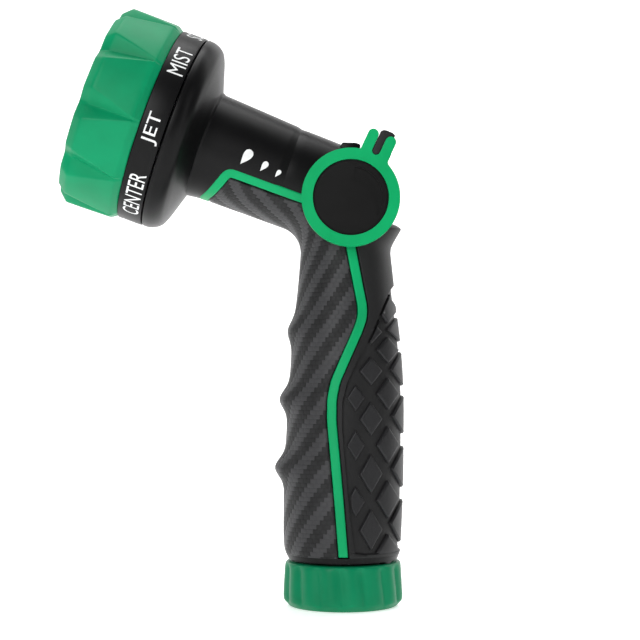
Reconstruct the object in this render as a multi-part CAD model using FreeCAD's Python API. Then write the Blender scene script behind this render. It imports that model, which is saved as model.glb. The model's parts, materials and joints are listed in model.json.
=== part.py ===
# Thumb-control garden hose nozzle with an eight-pattern turret head.
# Frame: +Z up along the handle, origin at the centre of the hose coupling's mouth, the head points to -X.
# Units: millimetres and degrees.
import FreeCAD, Part
import math
import os

Vec = FreeCAD.Vector
os.makedirs("parts", exist_ok=True)

# ---- driving dimensions ----
TILT = 20.0                      # the neck and the head point this far above the horizontal
VALVE_X, VALVE_Z = 2.2, 131.0    # the valve spindle's axis, which runs along Y
HEAD_LIFT = 1.5                  # the head's axis passes this far above the valve axis

COUPLING_R, COUPLING_H = 19.3, 14.5
THREAD_R, THREAD_LENGTH = 12.3, 8.0   # 3/4-11.5 garden hose thread, minor radius
HANDLE_BASE_Z = 15.2
HANDLE_BORE_R = 10.0
GRIP_THICKNESS = 2.5             # depth of the soft grips over the moulded core
TRIM_WIDTH = 2.9

NECK_END_D = 50.6                # distances called d run from the valve axis towards the spray
NECK_BORE_R = 12.0
BOWL_R = 31.8
BOWL_RIM_D = 60.6
BEZEL_FRONT_D = 68.9
DIAL_R, DIAL_FRONT_D = 33.5, 89.3
DIAL_LOBES = 10
PATTERNS = 8                     # ports, chambers, labels and detent dimples
PORT_RING_R, DIMPLE_RING_R = 15.0, 20.0

BARREL_R = 14.8                  # moulded barrel that carries the valve
BARREL_HALF = 16.9
PLUG_R = 11.5
WATERWAY_R = 5.5
DISC_R, DISC_IN, DISC_OUT = 15.5, 17.4, 22.0   # thumb lever discs: radius, inner and outer face in Y
CAP_R = 11.9
LEVER_ANGLE = 65.0               # the lever's fork, measured up from +X
SLIP = 0.1                       # gap between pieces that turn on each other
O_RING_MINOR, O_RING_GROOVE = 0.9, 2.3   # section radius of the o-rings and width of their grooves


# ---- frames and small helpers ----
def sin_deg(angle):
    return math.sin(math.radians(angle))


def cos_deg(angle):
    return math.cos(math.radians(angle))


SPRAY = Vec(-cos_deg(TILT), 0, sin_deg(TILT))   # the way the water leaves
RISE = Vec(sin_deg(TILT), 0, cos_deg(TILT))     # square to it, upwards
VALVE = Vec(VALVE_X, 0, VALVE_Z)


def head_point(d, h):
    """The point at distance d along the spray direction and height h above it, in the middle plane."""
    return VALVE + SPRAY * d + RISE * h


def to_head(shape, lift=HEAD_LIFT):
    """Carries a shape modelled along +Z from the valve axis into the head's direction."""
    moved = shape.copy()
    moved.rotate(Vec(0, 0, 0), Vec(0, 1, 0), TILT - 90)
    moved.translate(VALVE + RISE * lift)
    return moved


def turned(profile, start=0.0, sweep=360.0):
    """Solid of revolution about Z from (radius, height) points."""
    points = [Vec(r, 0, z) for r, z in profile]
    face = Part.Face(Part.makePolygon(points + [points[0]]))
    if start:
        face.rotate(Vec(0, 0, 0), Vec(0, 0, 1), start)
    return face.revolve(Vec(0, 0, 0), Vec(0, 0, 1), sweep)


def rod(radius, low, high, x=0.0, y=0.0):
    return Part.makeCylinder(radius, high - low, Vec(x, y, low), Vec(0, 0, 1))


def ring(outer, inner, low, high):
    return rod(outer, low, high).cut(rod(inner, low - 1, high + 1))


def torus(major, minor, z):
    return Part.makeTorus(major, minor, Vec(0, 0, z), Vec(0, 0, 1))


def groove(outer, inner, z):
    """Square groove for an o-ring, open at its outer or inner side."""
    return ring(outer, inner, z - O_RING_GROOVE / 2, z + O_RING_GROOVE / 2)


def across(radius, y_low, y_high):
    """Cylinder about the valve axis."""
    return Part.makeCylinder(radius, y_high - y_low, Vec(VALVE_X, y_low, VALVE_Z), Vec(0, 1, 0))


def slab(points, half=30.0):
    """Prism through the whole width over an outline of (x, z) points."""
    outline = [Vec(x, -half, z) for x, z in points]
    face = Part.Face(Part.makePolygon(outline + [outline[0]]))
    return face.extrude(Vec(0, 2 * half, 0))


def around(shape, count, first=0.0):
    """Copies of a shape, evenly spaced about Z."""
    copies = []
    for step in range(count):
        copy = shape.copy()
        copy.rotate(Vec(0, 0, 0), Vec(0, 0, 1), first + step * 360.0 / count)
        copies.append(copy)
    return copies


def mirrored(shape):
    """The same piece on the other side of the middle plane."""
    return shape.mirror(Vec(0, 0, 0), Vec(0, 1, 0))


def coil(radius, wire, low, high, turns):
    """Compression spring about Z with its wire inside the given height."""
    helix = Part.makeHelix((high - low - 2 * wire) / turns, high - low - 2 * wire, radius)
    helix.translate(Vec(0, 0, low + wire))
    section = Part.Wire(Part.makeCircle(wire, Vec(radius, 0, low + wire), Vec(0, 1, 0)))
    return Part.Wire(helix.Edges).makePipeShell([section], True, True)


def save(name, shape):
    solids = shape.Solids
    shape = solids[0] if len(solids) == 1 else Part.makeCompound(solids)
    shape.exportStep("parts/%s.step" % name)
    print("%-22s solids %d  volume %9.1f  valid %s" % (name, len(solids), shape.Volume, shape.isValid()))


# ---- the outer form: one loft from the head, round the elbow and down the handle ----
def section(front, back, half_width, bump=0.0, shrink=0.0, count=16):
    """Closed curve through the front and back points, half_width each side of the middle plane."""
    front, back = Vec(front[0], 0, front[1]), Vec(back[0], 0, back[1])
    centre = (front + back) * 0.5
    reach = (front - back).Length / 2 - shrink
    ahead = (front - back).normalize()
    points = []
    for step in range(count):
        turn = 2 * math.pi * step / count
        out = reach * math.cos(turn) + bump * max(math.cos(turn), 0.0) ** 4
        points.append(centre + ahead * out + Vec(0, (half_width - shrink) * math.sin(turn), 0))
    curve = Part.BSplineCurve()
    even = [step / count for step in range(count + 1)]
    curve.interpolate(Points=points, PeriodicFlag=True, Parameters=even)
    return Part.Wire(curve.toShape())


def flat_pair(point):
    return (point.x, point.z)


NECK_STATIONS = [(24.0, -15.5, 17.0, 16.3), (34.0, -15.5, 17.6, 16.6),   # d, underside, top, half width
                 (46.0, -15.7, 18.3, 17.0), (51.5, -16.4, 18.6, 17.4)]
ELBOW_R = 8.75                          # inner corner between the neck and the handle
ELBOW_X, ELBOW_Z = -22.4, 114.14        # its centre
ELBOW_FAN = [(0.0, 37.7, 15.7), (14.0, 39.0, 15.9), (28.0, 43.4, 16.1),  # direction, reach to the back, half width
             (42.0, 43.0, 16.2), (56.0, 39.5, 16.2), (70.0, 40.8, 16.2)]
HANDLE_STATIONS = [(HANDLE_BASE_Z, -17.6, 17.5, 17.2), (18.0, -18.8, 18.5, 17.9),   # z, front, back, half width
                   (22.0, -19.2, 18.9, 18.0), (33.0, -19.2, 19.4, 17.7), (44.7, -18.9, 19.7, 17.3),
                   (56.0, -18.3, 19.8, 16.9), (66.8, -17.7, 19.8, 16.5), (78.0, -16.9, 19.3, 16.1),
                   (88.9, -16.2, 18.3, 15.8), (97.0, -15.2, 17.2, 15.6), (105.5, -14.3, 16.25, 15.5),
                   (114.1, -13.65, 15.3, 15.7)]
FINGER_BUMPS = [(88.9, 1.7), (66.8, 2.8), (44.7, 3.1)]   # height on the handle, how far it stands out
BUMP_SPREAD = 3.9


def reading(table, place):
    """Smooth reading of a table of stations at a place between them."""
    last = len(table) - 1
    index = max(i for i in range(last) if table[i][0] <= place or i == 0)
    low, high = table[index], table[index + 1]
    span = high[0] - low[0]
    share = (place - low[0]) / span
    values = []
    for column in range(1, len(low)):
        slopes = []
        for i in (index, index + 1):
            before, after = table[max(i - 1, 0)], table[min(i + 1, last)]
            slopes.append((after[column] - before[column]) / (after[0] - before[0]) * span)
        start, end = low[column], high[column]
        ease = share * share * (3 - 2 * share)
        lead = share * (1 - share) * ((1 - share) * slopes[0] - share * slopes[1])
        values.append(start + (end - start) * ease + lead)
    return values


def steps(first, last, count):
    return [first + (last - first) * i / count for i in range(count + 1)]


def bump_at(z):
    return sum(height * math.exp(-((z - level) / BUMP_SPREAD) ** 2) for level, height in FINGER_BUMPS)


def outer_form(shrink=0.0, bumps=True):
    """The grip envelope, or the same form made smaller all round by shrink."""
    wires = []
    for d in steps(51.5, 24.0, 4 if bumps else 3):
        low, high, half = reading(NECK_STATIONS, d)
        wires.append(section(flat_pair(head_point(d, low)), flat_pair(head_point(d, high)), half, 0, shrink))
    corner = Vec(ELBOW_X, 0, ELBOW_Z)
    for angle in steps(70.0, 0.0, 7 if bumps else 5):
        reach, half = reading(ELBOW_FAN, angle)
        ray = Vec(cos_deg(angle), 0, sin_deg(angle))
        front, back = flat_pair(corner + ray * ELBOW_R), flat_pair(corner + ray * reach)
        wires.append(section(front, back, half, 0, shrink))
    for z in steps(109.0, 22.0, 36 if bumps else 8) + [18.0, HANDLE_BASE_Z]:
        front, back, half = reading(HANDLE_STATIONS, z)
        bump = bump_at(z) if bumps else 0.0
        wires.append(section((front, z), (back, z), half, bump, shrink))
    return Part.makeLoft(wires, True, False)


# ---- outlines of the grips and trims, seen from the side ----
TRIM_PATH = [(0.6, 126.0), (2.45, 115.0), (4.7, 103.5), (6.1, 96.7), (6.0, 93.2), (4.7, 89.4),
             (0.45, 80.0), (-2.65, 72.9), (-3.75, 67.4), (-3.85, 60.5), (-2.7, 48.2), (-0.1, 17.6)]
NECK_TRIM_PATH = [(4.0, -5.4), (38.3, -5.4), (39.3, -6.1), (39.9, -7.1), (44.0, -14.4), (50.0, -25.0)]   # d, h
GRIP_FOOT_Z = HANDLE_BASE_Z + 1.7       # the core's flange shows below the grips
DIAMOND_FLOOR = 1.2                     # depth of the channels round the diamonds


def offset_path(path, side):
    """The path moved sideways: positive is to the left of its travel."""
    moved = []
    for index, (x, z) in enumerate(path):
        before = path[max(index - 1, 0)]
        after = path[min(index + 1, len(path) - 1)]
        dx, dz = after[0] - before[0], after[1] - before[1]
        length = math.hypot(dx, dz)
        moved.append((x - dz / length * side, z + dx / length * side))
    return moved


def trim_band():
    half = TRIM_WIDTH / 2
    return slab(offset_path(TRIM_PATH, half) + offset_path(TRIM_PATH, -half)[::-1])


def head_outline(path):
    return [flat_pair(head_point(d, h)) for d, h in path]


def neck_trim_band():
    half = TRIM_WIDTH / 2
    path = head_outline(NECK_TRIM_PATH)
    return slab(offset_path(path, half) + offset_path(path, -half)[::-1])


def front_region():
    """Everything ahead of the trims: the finger side of the handle and the neck's underside."""
    half = TRIM_WIDTH / 2
    upper = offset_path(head_outline(NECK_TRIM_PATH), half)
    rear = offset_path(TRIM_PATH, -half)
    return slab(upper + [(-60.0, GRIP_FOOT_Z), (rear[-1][0], GRIP_FOOT_Z)] + rear[::-1])


def rear_region():
    """Everything behind the handle trim, up to the web rest."""
    half = TRIM_WIDTH / 2
    front = offset_path(TRIM_PATH, half)
    return slab([(front[-1][0], GRIP_FOOT_Z), (30.0, GRIP_FOOT_Z), (30.0, 123.9), (6.0, 123.9)] + front[1:])


RECESS_OUTLINE = [(17.0, 101.0), (13.0, 97.5), (9.4, 89.0), (4.2, 79.0), (1.2, 72.5), (-0.4, 66.0),
                  (-0.4, 58.0), (0.4, 48.0), (3.6, 18.6), (30.0, 18.6), (30.0, 101.0)]
# the diamonds stand in upright columns: x of each column's centre, then the heights of its diamonds
DIAMOND_COLUMNS = [(14.7, (96.5, 82.4, 68.3, 52.0, 34.3)), (9.4, (75.6, 60.1, 42.2, 24.2)),
                   (4.4, (66.8, 52.0, 33.2)), (20.0, (89.4, 75.6, 60.1, 42.2, 24.2))]
DIAMOND_HALF_X = 4.2


def diamond_half_height(z):
    """The diamonds grow towards the foot of the handle."""
    return 5.6 + 1.6 * min(max((75.0 - z) / 40.0, 0.0), 1.0)


def diamond_channels():
    """The recess between the diamonds, cut down to the channel floor."""
    recess = slab(RECESS_OUTLINE)
    for x, heights in DIAMOND_COLUMNS:
        for z in heights:
            half = diamond_half_height(z)
            corners = [(x - DIAMOND_HALF_X, z), (x, z + half), (x + DIAMOND_HALF_X, z), (x, z - half)]
            recess = recess.cut(slab(corners))
    return recess.cut(outer_form(DIAMOND_FLOOR, bumps=False))


def web_rest():
    """The horn behind the elbow that sits on the web of the thumb."""
    side = slab([(9.0, 123.8), (16.3, 123.8), (18.8, 122.1), (18.5, 121.2), (16.9, 118.6),
                 (15.5, 116.0), (15.2, 113.0), (9.0, 113.0)])
    plan = Part.Face(Part.Wire(Part.Ellipse(Vec(0, 0, 110), 18.9, 13.6).toShape()))
    return side.common(plan.extrude(Vec(0, 0, 20)))


# ---- moulded body ----
BOSS_RING_R, BOSS_R, SCREW_R = 24.0, 3.0, 1.1    # the three screws that hold the manifold
MANIFOLD_D, MANIFOLD_FACE_D, MANIFOLD_R = 57.2, 60.2, 28.6
SEAL_R = 7.6
SEAL_FLOOR_Z, SEAL_FLOOR_D = 116.2, 14.6
SPIGOT_R, SPIGOT_TOP = 10.6, 31.0


def bowl_outer():
    return to_head(turned([(0, NECK_END_D), (17.4, NECK_END_D), (27.4, 53.9), (29.6, 54.9), (31.0, 56.6),
                           (BOWL_R, 58.8), (BOWL_R, BOWL_RIM_D), (0, BOWL_RIM_D)]))


def bowl_cavity():
    return to_head(turned([(0, 50.0), (NECK_BORE_R, 50.0), (NECK_BORE_R, 52.4), (25.6, 56.4), (26.2, MANIFOLD_D),
                           (MANIFOLD_R, MANIFOLD_D), (MANIFOLD_R, BOWL_RIM_D + 1), (0, BOWL_RIM_D + 1)]))


def lever_stop():
    """The rib on top of the neck that faces the thumb bar when the valve is open."""
    return plate(head_outline([(9.5, 14.0), (8.6, 16.6), (4.2, 18.0), (3.0, 17.9), (2.6, 14.0)]), -6.0, 6.0)


def neck_outer():
    """The back of the neck's upper side, cut off square so that the thumb bar can pass."""
    taper = to_head(turned([(0, 2.0), (15.4, 2.0), (16.0, 20.0), (16.9, 51.0), (0, 51.0)]), 0.8)
    behind = slab(head_outline([(2.7, 40.0), (2.7, 5.0), (-8.0, -40.0), (-60.0, -40.0), (-60.0, 40.0)]))
    below = slab(head_outline([(-30.0, 4.0), (60.0, -3.0), (60.0, -60.0), (-30.0, -60.0)]))
    return taper.cut(behind).cut(below)


def waterway():
    """Hose end to head: the spigot's socket, the handle's bore, the two valve ports and the neck's bore."""
    upright = [rod(SPIGOT_R, HANDLE_BASE_Z - 1, SPIGOT_TOP), rod(HANDLE_BORE_R, SPIGOT_TOP - 1, 113.5),
               rod(WATERWAY_R, 110.0, VALVE_Z, VALVE_X), rod(SEAL_R, SEAL_FLOOR_Z, VALVE_Z, VALVE_X)]
    forward = [to_head(rod(WATERWAY_R, 0, 20.0), 0.0), to_head(rod(SEAL_R, 0, SEAL_FLOOR_D), 0.0),
               to_head(rod(NECK_BORE_R, 17.6, 51.0), 0.9)]
    return upright + forward


def body_shell(form, core, regions):
    whole = form
    for region in regions:
        whole = whole.cut(region)
    foot = section((-17.6, HANDLE_BASE_Z), (17.5, HANDLE_BASE_Z), 17.2)
    top = section((-18.7, GRIP_FOOT_Z), (18.4, GRIP_FOOT_Z), 17.8)
    flange = Part.makeLoft([foot, top], True, True)
    barrel = across(BARREL_R, -BARREL_HALF, BARREL_HALF)
    whole = whole.fuse([core, bowl_outer(), neck_outer(), lever_stop(), barrel, flange])
    for cavity in waterway() + [bowl_cavity(), across(PLUG_R + SLIP, -BARREL_HALF - 1, BARREL_HALF + 1)]:
        whole = whole.cut(cavity)
    bosses = [to_head(boss) for boss in around(rod(BOSS_R, 54.4, MANIFOLD_D, BOSS_RING_R), 3, 30)]
    whole = whole.fuse(bosses)
    for hole in around(rod(SCREW_R, 54.2, MANIFOLD_D + 1, BOSS_RING_R), 3, 30):
        whole = whole.cut(to_head(hole))
    return whole


def build_body():
    form = outer_form()
    core = outer_form(GRIP_THICKNESS, bumps=False)
    barrel = across(BARREL_R, -BARREL_HALF, BARREL_HALF)
    front, rear = front_region(), rear_region()
    trim, neck_trim = trim_band(), neck_trim_band()
    save("front_grip", form.common(front).cut(core).cut(barrel))
    strips = form.common(trim).cut(core).cut(barrel).Solids
    save("near_handle_trim", [s for s in strips if s.CenterOfMass.y < 0][0])
    save("far_handle_trim", [s for s in strips if s.CenterOfMass.y > 0][0])
    save("neck_trim", form.common(neck_trim).cut(core).cut(barrel))
    soft = form.common(rear).fuse(web_rest()).cut(core).cut(barrel)
    save("rear_grip", soft.cut(diamond_channels()))
    save("body_shell", body_shell(form, core, [front, rear, trim, neck_trim]))


# ---- hose end ----
SWIVEL_TOP, SWIVEL_FLANGE_Z = 12.6, 11.4    # the spigot's flange inside the nut
NUT_LIP_Z = 12.8
WASHER_R, WASHER_Z = 12.7, 8.7
FLUTES = 16


def coupling_nut():
    body = turned([(THREAD_R, 0.0), (17.4, 0.0), (19.4, 2.0), (19.5, 4.5), (18.9, COUPLING_H - 0.8),
                   (18.2, COUPLING_H), (SPIGOT_R + SLIP, COUPLING_H), (SPIGOT_R + SLIP, NUT_LIP_Z),
                   (WASHER_R, NUT_LIP_Z), (WASHER_R, WASHER_Z), (THREAD_R, WASHER_Z)])
    flute = rod(4.0, -2.0, COUPLING_H + 2)
    flute.rotate(Vec(0, 0, COUPLING_H / 2), Vec(1, 0, 0), 7)
    flute.translate(Vec(22.8, 0, 0))
    for cutter in around(flute, FLUTES, 11.25):
        body = body.cut(cutter)
    return body


def build_hose_end():
    save("coupling_nut", coupling_nut())
    save("hose_washer", ring(WASHER_R, 8.0, WASHER_Z, 11.2))
    stem = turned([(7.5, SWIVEL_FLANGE_Z), (12.5, SWIVEL_FLANGE_Z), (12.5, SWIVEL_TOP), (SPIGOT_R, SWIVEL_TOP),
                   (SPIGOT_R, SPIGOT_TOP), (7.5, SPIGOT_TOP)])
    save("inlet_spigot", stem.cut(groove(SPIGOT_R + 1, SPIGOT_R - 2 * O_RING_MINOR, 24.0)))
    save("spigot_o_ring", torus(SPIGOT_R - O_RING_MINOR, O_RING_MINOR, 24.0))


# ---- valve ----
PLUG_HALF, BONNET_IN = 12.0, 12.2
JOURNAL_R, DRIVE_HALF, DRIVE_END = 4.0, 2.8, 18.8
LEVER_SCREW_R = 1.4


def drive(y_low, y_high):
    box = Part.makeBox(2 * DRIVE_HALF, y_high - y_low, 2 * DRIVE_HALF)
    box.translate(Vec(VALVE_X - DRIVE_HALF, y_low, VALVE_Z - DRIVE_HALF))
    box.rotate(VALVE, Vec(0, 1, 0), 90 - LEVER_ANGLE)
    return box


def valve_plug():
    """The turning plug: an elbow-shaped port through it, journals and square drives at its ends."""
    plug = across(PLUG_R, -PLUG_HALF, PLUG_HALF)
    plug = plug.fuse([across(JOURNAL_R, -DISC_IN, DISC_IN), drive(-DRIVE_END, DRIVE_END)])
    port = [Part.makeSphere(WATERWAY_R, VALVE), rod(WATERWAY_R, VALVE_Z - 20, VALVE_Z, VALVE_X),
            to_head(rod(WATERWAY_R, 0, 20), 0.0)]
    for cutter in port + [across(LEVER_SCREW_R, 9.0, 20.0), across(LEVER_SCREW_R, -20.0, -9.0)]:
        plug = plug.cut(cutter)
    return plug


def across_torus(major, minor, y):
    return Part.makeTorus(major, minor, Vec(VALVE_X, y, VALVE_Z), Vec(0, 1, 0))


def across_groove(outer, inner, y):
    return across(outer, y - O_RING_GROOVE / 2, y + O_RING_GROOVE / 2).cut(across(inner, y - 3, y + 3))


def build_valve():
    save("valve_plug", valve_plug())
    bore = across(PLUG_R + SLIP, -20, 20)
    inlet = ring(SEAL_R, WATERWAY_R, SEAL_FLOOR_Z, VALVE_Z)
    inlet.translate(Vec(VALVE_X, 0, 0))
    save("valve_inlet_seal", inlet.cut(bore))
    save("valve_outlet_seal", to_head(ring(SEAL_R, WATERWAY_R, 0, SEAL_FLOOR_D), 0.0).cut(bore))
    bonnet = across(PLUG_R + SLIP, BONNET_IN, BARREL_HALF).cut(across(JOURNAL_R + SLIP, 10, 20))
    bore_r, spindle_r = PLUG_R + SLIP, JOURNAL_R + SLIP / 2
    bonnet = bonnet.cut(across_groove(bore_r + 1, bore_r - 2 * O_RING_MINOR, 14.6))
    bonnet = bonnet.cut(across_groove(spindle_r + 2 * O_RING_MINOR, JOURNAL_R, 14.6))
    far = {"bonnet": bonnet, "bonnet_o_ring": across_torus(bore_r - O_RING_MINOR, O_RING_MINOR, 14.6),
           "spindle_o_ring": across_torus(spindle_r + O_RING_MINOR, O_RING_MINOR, 14.6)}
    for name, shape in far.items():
        save("far_" + name, shape)
        save("near_" + name, mirrored(shape))


# ---- thumb lever ----
BAR_LOW_R, BAR_TOP_R, BAR_HALF = 15.8, 23.7, 1.25
FORK_TOP_R, FORK_HALF, SLOT_HALF = 22.6, 4.7, 1.3
FORK_MIDDLE = -1.05              # the fork's middle line lies this far off the lever's radius, away from the head
CAP_IN, CAP_OUT = 20.0, 21.0


def plate(points, y_low, y_high):
    """Prism over an outline of (x, z) points between two planes in Y."""
    outline = [Vec(x, y_low, z) for x, z in points]
    face = Part.Face(Part.makePolygon(outline + [outline[0]]))
    return face.extrude(Vec(0, y_high - y_low, 0))


def lever_outline(points):
    """Turns (radial, tangential) pairs about the valve into (x, z), tangential being towards the head."""
    out = Vec(cos_deg(LEVER_ANGLE), 0, sin_deg(LEVER_ANGLE))
    along = Vec(-sin_deg(LEVER_ANGLE), 0, cos_deg(LEVER_ANGLE))
    return [flat_pair(VALVE + out * r + along * t) for r, t in points]


def lever_disc():
    """One of the two side discs: a ring with a forked horn for the thumb bar."""
    low = turned([(0, DISC_IN), (DISC_R, DISC_IN), (DISC_R, DISC_OUT - 0.8), (DISC_R - 0.8, DISC_OUT),
                  (0, DISC_OUT)])
    low.rotate(Vec(0, 0, 0), Vec(1, 0, 0), -90)
    low.translate(VALVE)
    front, back = FORK_MIDDLE + FORK_HALF, FORK_MIDDLE - FORK_HALF
    sweep = [(15.57 - 1.8 * sin_deg(a), back - 1.8 * (1 - cos_deg(a))) for a in range(0, 65, 16)]
    horn = [(0.0, back), (0.0, front), (FORK_TOP_R - 1.2, front), (FORK_TOP_R - 0.35, front - 0.5),
            (FORK_TOP_R, front - 1.4), (FORK_TOP_R, back + 1.4), (FORK_TOP_R - 0.35, back + 0.5),
            (FORK_TOP_R - 1.2, back)] + sweep
    disc = low.fuse(plate(lever_outline(horn), DISC_IN, DISC_OUT - 0.3)).removeSplitter()
    front, back = FORK_MIDDLE + SLOT_HALF, FORK_MIDDLE - SLOT_HALF
    slot = [(BAR_LOW_R, back), (BAR_LOW_R, front), (30.0, front), (30.0, back)]
    disc = disc.cut(plate(lever_outline(slot), DISC_IN - 1, DISC_OUT + 1))
    disc = disc.cut(across(CAP_R, CAP_IN, DISC_OUT + 1)).cut(across(4.2, 18.9, CAP_IN))
    return disc.cut(drive(DISC_IN - 1, 19.5))


def thumb_bar():
    front, back = FORK_MIDDLE + BAR_HALF, FORK_MIDDLE - BAR_HALF
    outline = [(BAR_LOW_R, back), (BAR_LOW_R, front), (22.8, front), (23.5, front - 0.6), (BAR_TOP_R, front - 1.5),
               (BAR_TOP_R, back - 1.3), (23.4, back - 2.0), (22.8, back - 2.2), (22.8, back)]
    bar = plate(lever_outline(outline), -DISC_OUT + 0.1, DISC_OUT - 0.1)
    for level in (17.2, 18.6, 20.0):
        groove = [(level, back - 0.5), (level, back + 0.4), (level + 0.7, back + 0.4), (level + 0.7, back - 0.5)]
        bar = bar.cut(plate(lever_outline(groove), -14.0, 14.0))
    return bar


def lever_cap():
    """The cover in the disc's face, with a crescent that narrows as it runs round."""
    rim = [(82, 9.8), (60, 9.8), (40, 9.9), (20, 10.0), (0, 10.1), (-18, 10.2), (-34, 10.3)]
    inner = [(-34, 9.7), (-17, 8.4), (3, 7.2), (23, 6.3), (43, 5.6), (62, 5.35), (80, 5.2)]
    outline = [(VALVE_X + r * cos_deg(a), VALVE_Z + r * sin_deg(a)) for a, r in rim + inner]
    return across(CAP_R, CAP_IN, CAP_OUT).cut(plate(outline, CAP_OUT - 0.5, CAP_OUT + 1))


def lever_screw():
    screw = across(LEVER_SCREW_R, 9.5, 18.9).fuse(across(3.8, 18.9, 19.8)).removeSplitter()
    for tilt in (0, 90):
        slot = Part.makeBox(4.4, 0.6, 0.9)
        slot.translate(Vec(VALVE_X - 2.2, 19.3, VALVE_Z - 0.45))
        slot.rotate(VALVE, Vec(0, 1, 0), tilt)
        screw = screw.cut(slot)
    return screw


def build_lever():
    for name, shape in {"lever_disc": lever_disc(), "lever_cap": lever_cap(), "lever_screw": lever_screw()}.items():
        save("far_" + name, shape)
        save("near_" + name, mirrored(shape))
    save("thumb_bar", thumb_bar())


# ---- fixed plate behind the dial ----
HUB_R, HUB_TOP_D = 5.6, 66.0
PORT_HOLE_R, PORT_POCKET_R, PORT_POCKET_D = 2.6, 4.2, 56.2
DETENT_R, DETENT_FLOOR_D = 2.0, 56.6
TURRET_SCREW_R = 2.0


def head_manifold():
    disc = turned([(0, MANIFOLD_D), (MANIFOLD_R, MANIFOLD_D), (MANIFOLD_R, MANIFOLD_FACE_D),
                   (HUB_R, MANIFOLD_FACE_D), (HUB_R, HUB_TOP_D), (0, HUB_TOP_D)])
    disc = disc.fuse([rod(5.6, 55.2, MANIFOLD_D, PORT_RING_R), rod(3.4, 56.1, MANIFOLD_D, -DIMPLE_RING_R),
                      rod(4.6, 54.6, MANIFOLD_D)]).removeSplitter()
    cuts = [rod(PORT_HOLE_R, 50, 60, PORT_RING_R), rod(PORT_POCKET_R, PORT_POCKET_D, 62, PORT_RING_R),
            rod(DETENT_R + SLIP, DETENT_FLOOR_D, 62, -DIMPLE_RING_R), rod(TURRET_SCREW_R, 56.0, 70),
            groove(MANIFOLD_R + 1, MANIFOLD_R - 2 * O_RING_MINOR, 58.7)]
    cuts += around(rod(SCREW_R, 50, 62, BOSS_RING_R), 3, 30) + around(rod(2.3, 59.0, 62, BOSS_RING_R), 3, 30)
    for cutter in cuts:
        disc = disc.cut(cutter)
    return disc


def manifold_screw():
    screw = rod(SCREW_R, 54.3, 59.0, BOSS_RING_R).fuse(rod(2.2, 59.0, 60.1, BOSS_RING_R)).removeSplitter()
    return screw.cut(Part.makeBox(3.0, 0.6, 1.0, Vec(BOSS_RING_R - 1.5, -0.3, 59.7)))


def build_fixed_head():
    save("head_manifold", to_head(head_manifold()))
    save("manifold_o_ring", to_head(torus(MANIFOLD_R - O_RING_MINOR, O_RING_MINOR, 58.7)))
    for index, screw in enumerate(around(manifold_screw(), 3, 30)):
        save("manifold_screw_%d" % (index + 1), to_head(screw))
    seal = ring(PORT_POCKET_R, 2.4, 58.8, 60.9)
    seal.translate(Vec(PORT_RING_R, 0, 0))
    save("port_seal", to_head(seal))
    spring = coil(3.5, 0.35, PORT_POCKET_D, 58.8, 2.5)
    spring.translate(Vec(PORT_RING_R, 0, 0))
    save("port_spring", to_head(spring))
    save("turret_washer", to_head(ring(6.8, TURRET_SCREW_R, HUB_TOP_D, 66.8)))
    screw = rod(TURRET_SCREW_R, 57.0, 66.8).fuse(rod(4.4, 66.8, 69.4)).removeSplitter()
    save("turret_screw", to_head(screw.cut(Part.makeBox(6.0, 1.0, 2.0, Vec(-3.0, -0.5, 68.2)))))
    plunger = turned([(0, 58.4), (DETENT_R, 58.4), (DETENT_R, 59.6), (0.9, 60.95), (0, 60.95)])
    plunger.translate(Vec(-DIMPLE_RING_R, 0, 0))
    save("detent_plunger", to_head(plunger))
    spring = coil(1.5, 0.25, DETENT_FLOOR_D, 58.4, 3)
    spring.translate(Vec(-DIMPLE_RING_R, 0, 0))
    save("detent_spring", to_head(spring))


# ---- turning head ----
CORE_R, CORE_WALL = 29.3, 1.6
CORE_D, CORE_FLOOR_D, CORE_FRONT_D = 61.1, 63.1, 84.5
WELL_R, HUB_TUBE_R = 7.4, 9.2
FACE_FRONT_D = 87.0
VALLEY_PHASE = 13.0              # turn of the first valley of the dial's grip
RIB_PHASE = 22.5


def turret_core():
    core = ring(CORE_R, HUB_R + SLIP, CORE_D, CORE_FLOOR_D)
    core = core.fuse([ring(CORE_R, CORE_R - CORE_WALL, CORE_D, CORE_FRONT_D),
                      ring(HUB_TUBE_R, HUB_R + SLIP, CORE_D, 65.8), ring(HUB_TUBE_R, WELL_R, 65.8, CORE_FRONT_D)])
    wall = Part.makeBox(CORE_R - 1 - HUB_TUBE_R + 0.8, 1.4, CORE_FRONT_D - CORE_FLOOR_D + 1,
                        Vec(HUB_TUBE_R - 0.8, -0.7, CORE_FLOOR_D - 1))
    core = core.fuse(around(wall, PATTERNS, RIB_PHASE)).removeSplitter()
    dimple = Part.makeCone(2.0, 1.2, 1.0, Vec(-DIMPLE_RING_R, 0, CORE_D), Vec(0, 0, 1))
    for cutter in around(rod(2.4, 60, 64, PORT_RING_R), PATTERNS) + around(dimple, PATTERNS):
        core = core.cut(cutter)
    return core


def pattern_bezel():
    return turned([(CORE_R, 60.9), (31.4, 60.9), (31.9, 61.4), (31.9, 68.5), (31.5, BEZEL_FRONT_D),
                   (CORE_R, BEZEL_FRONT_D)])


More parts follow.
